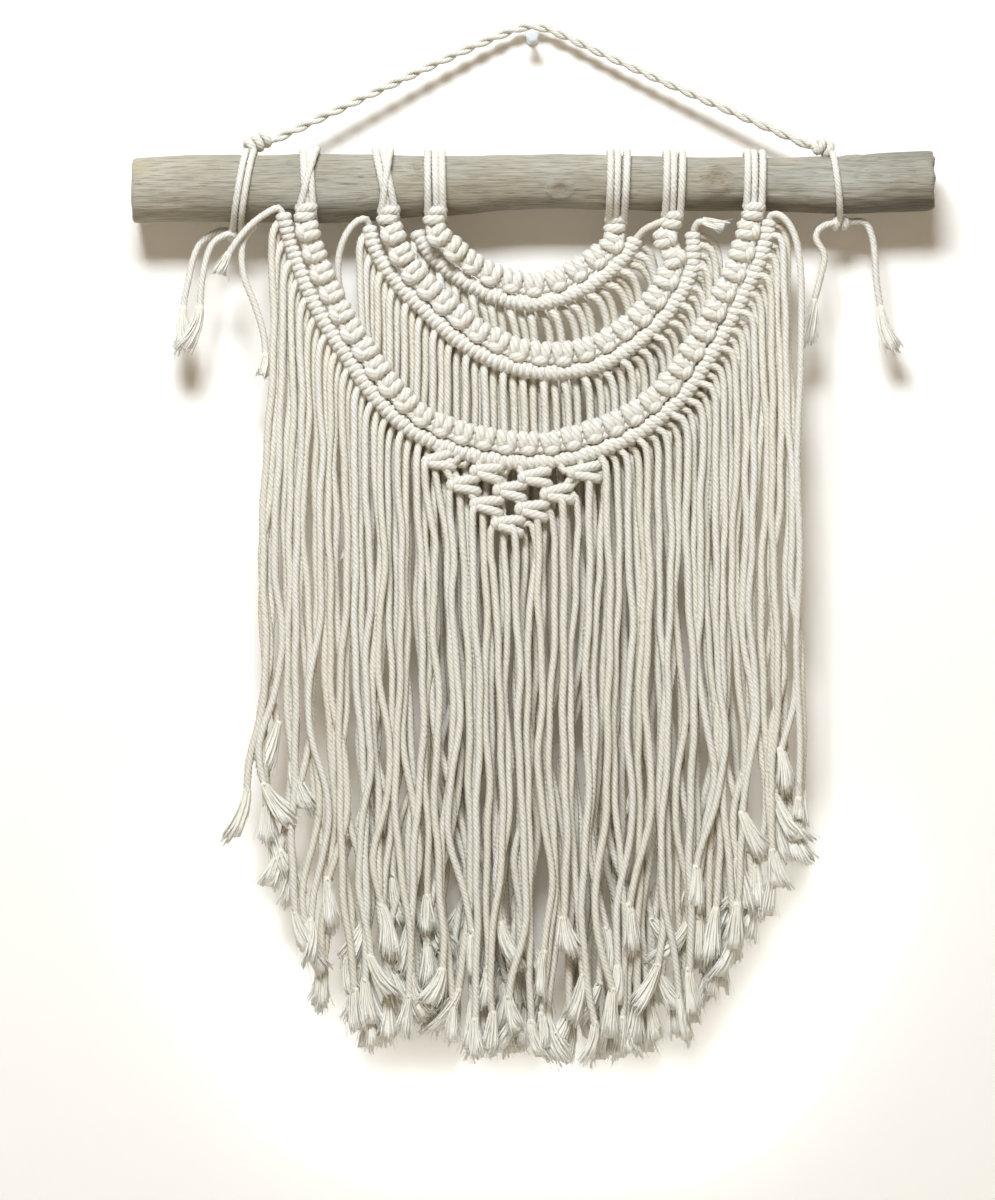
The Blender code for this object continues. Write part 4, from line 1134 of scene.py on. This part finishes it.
def strand_points(number, root, lane, low_lane, fringe, seat):
    """Points of one strand, from inside its hitch, over the bar's edge or through knots, to its tip.

    Root: across, up, the bar's outward direction in the wall's plane, and out.
    """
    side = 1.0 if number % 2 == 0 else -1.0
    hang, layer = fringe["hang"], LAYERS[number % 4]
    drift = fringe["drift"] * (0.6 + 0.8 * scatter(number, 23)) + 1.6 * scatter(number, 21) - 0.8
    if 0 <= seat < TRIANGLE_STRANDS:
        points, start = through_knots(seat, root, hang, layer, side)
    else:
        points, start = over_edge(root, lane, drift, hang, layer)
    points.insert(0, (root[0], root[1], root[4] + side * ROOT_STEP))
    top = start[1] - 6.0
    tip = hem_at(low_lane, number)
    for up in [*np.arange(top, tip + ROUTE_STEP / 2, -ROUTE_STEP), tip]:
        drop = top - up
        across = lane + (low_lane - lane) * np.clip(drop / SPREAD_DROP, 0.0, 1.0) ** 1.3
        across = start[0] + (across + drift - start[0]) * min(1.0, 0.3 + drop / 40.0)
        depth = 0.9 * math.sin(up / 21.0 + 6.3 * scatter(number, 9)) * min(1.0, drop / WANDER_START)
        points.append((across + sway(across, up, drop, number), up, hang + layer + depth))
    return points


def shaded_flanks(route, tone):
    """Tone round a strand: painted shade on its sides, which face its neighbours; its front and back
    stay pale.

    tone + 0.9 (1 - |cos a|) ^ 2 for a section's angle a from the front, never over 1.
    """
    columns = math.pi * np.arange(2 * PLIES) / PLIES
    angle = columns[None, :] - (FULL_TURN * run_along(route) / PLY_LAY)[:, None]
    side = 1.0 - np.abs(np.cos(angle))
    return np.clip(tone + 0.9 * side ** 2, 0.0, 1.0)


def hitched_bar(core, count, chance):
    """Holding cord with a row of turns over it, and a tone for each.

    A turn lies square across the bar where that is level, and half-way to upright where it is steep.
    """
    run = run_along(core)
    tangent = unit(np.gradient(core, axis=0))
    cords, tones = [laid_cord(smooth_route(core, STRAND_STEP), OUT, HOLDING_RADIUS)], [0.15]
    for place in (np.arange(count) + 0.5) / count * run[-1]:
        centre = point_at(place, run, core)
        along = unit(point_at(place, run, tangent))
        slope = math.atan2(along[1], along[0])
        turned = 0.5 * (math.copysign(math.pi / 2, slope) - slope) * min(1.0, abs(slope) / UPRIGHT)
        along = np.array([along[0] * math.cos(turned) - along[1] * math.sin(turned),
                          along[0] * math.sin(turned) + along[1] * math.cos(turned), along[2]])
        outer, front = across_band(along)
        cords.append(wrap(centre, outer, front, relief=0.6, deep=HITCH_REACH,
                          wide=HITCH_REACH / math.cos(turned) + chance.normal(0.0, 0.12),
                          lean=0.25 + chance.normal(0.0, 0.2),
                          thick=HITCH_THICK + chance.normal(0.0, 0.1)))
        tones.append(chance.uniform(*KNOT_TONES))
    return cords, tones


for name, fringe in FRINGES.items():
    chance = np.random.default_rng(fringe["seed"])
    count = fringe["strands"]
    line = smooth_route(BARS[name], 1.0)
    run = np.linspace(0.0, 1.0, len(line))
    out = band_out(line, BANDS[name], fringe["bar_end"], BANDS[name], BAR_FADE)
    roots = point_at((np.arange(count) + 0.5) / count, run, np.column_stack([line, outward(line), out]))
    hitches, tones = hitched_bar(np.column_stack([line, out]), int(round(HITCHES * count)), chance)
    first = count                  # no strand of the other fringes goes into the triangle
    if name == "outer":
        middle = sum(across for across, _, _ in TRIANGLE[:4]) / 4
        first = int(np.argmin(np.abs(roots[:, 0] - middle))) - TRIANGLE_STRANDS // 2 + 1
        for across, up, _ in TRIANGLE:
            along = unit(np.array([chance.normal(-0.03, 0.06), -1.0, 0.0]))
            turns = square_knot((across, up, fringe["hang"]), along, half_width=8.9, rise=2.5,
                                half_gap=2.5, thick=2.6, tilt=-0.05, fan=0.2, side=0.5)
            hitches.extend(turns)
            tones.extend(chance.uniform(*KNOT_TONES, len(turns)))
    brushes = []
    for points in CUT_ENDS[name]:
        frayed_cord(points, chance, CUT_BRUSH, CUT_SPREAD, hitches, brushes)
        tones.append(CUT_TONE)
    if name == "middle":
        hitches.append(laid_cord(smooth_route(TUCKED_END, STRAND_STEP), OUT))
        tones.append(TUCKED_TONE)
    new_piece("bar_" + name + "_hitches", hitches, knotted_cotton, "fringe_" + name, tones)

    steep = np.clip((roots[:, 2] - STEEP_FROM) / STEEP_RANGE, 0.0, 1.0)
    arch = RIGHT_REACH * (0.85 + 0.3 * scatter(np.arange(count), 19)) * (1.0 - STEEP_TUCK * steep)
    swing = EDGE + np.where(roots[:, 2] > 0, arch, LEFT_REACH)
    lanes = spread_lanes(roots[:, 0] + roots[:, 2] * swing, LANE_PITCH, LANE_PITCH)
    low_lanes = spread_lanes(roots[:, 0] + np.maximum(roots[:, 2], 0.0) * swing, *LOW_PITCHES)
    layers = {"front": ([], []), "back": ([], [])}
    for number, root in enumerate(roots):
        points = strand_points(number, root, lanes[number], low_lanes[number], fringe, number - first)
        route = smooth_route(points, fringe["step"])
        run_down = run_along(route)
        length = BRUSH_LENGTH * chance.uniform(*BRUSH_SHARES)
        whole = route[run_down < run_down[-1] - length]
        # a random tone of raw cotton, plus painted shade for the layer behind
        tone = STRAND_TONE * chance.uniform(0.0, 1.0) + BACK_SHADE_TONE * (number % 2)
        cords, cord_tones = layers["front" if number % 2 == 0 else "back"]
        radius = fringe["radius"] * chance.uniform(SLIMMEST, STOUTEST)
        cords.append(laid_cord(whole, OUT, radius))
        # painted shade on the strand's sides, added to its tone
        cord_tones.append(shaded_flanks(whole, tone))
        lean = route[-1] - whole[-1] + chance.normal(0.0, 3.0, 3) * (1.0, 0.0, 0.3)
        brushes.extend(brush(whole[-1], lean, chance, length, chance.uniform(*BRUSH_SPREADS)))
    for layer, (cords, cord_tones) in layers.items():
        new_piece("fringe_" + name + "_" + layer, cords, cord_cotton, "fringe_" + name, cord_tones)
    new_piece("fringe_" + name + "_tips", brushes, combed_cotton, "fringe_" + name,
              [RAW_ROOT] * len(brushes))
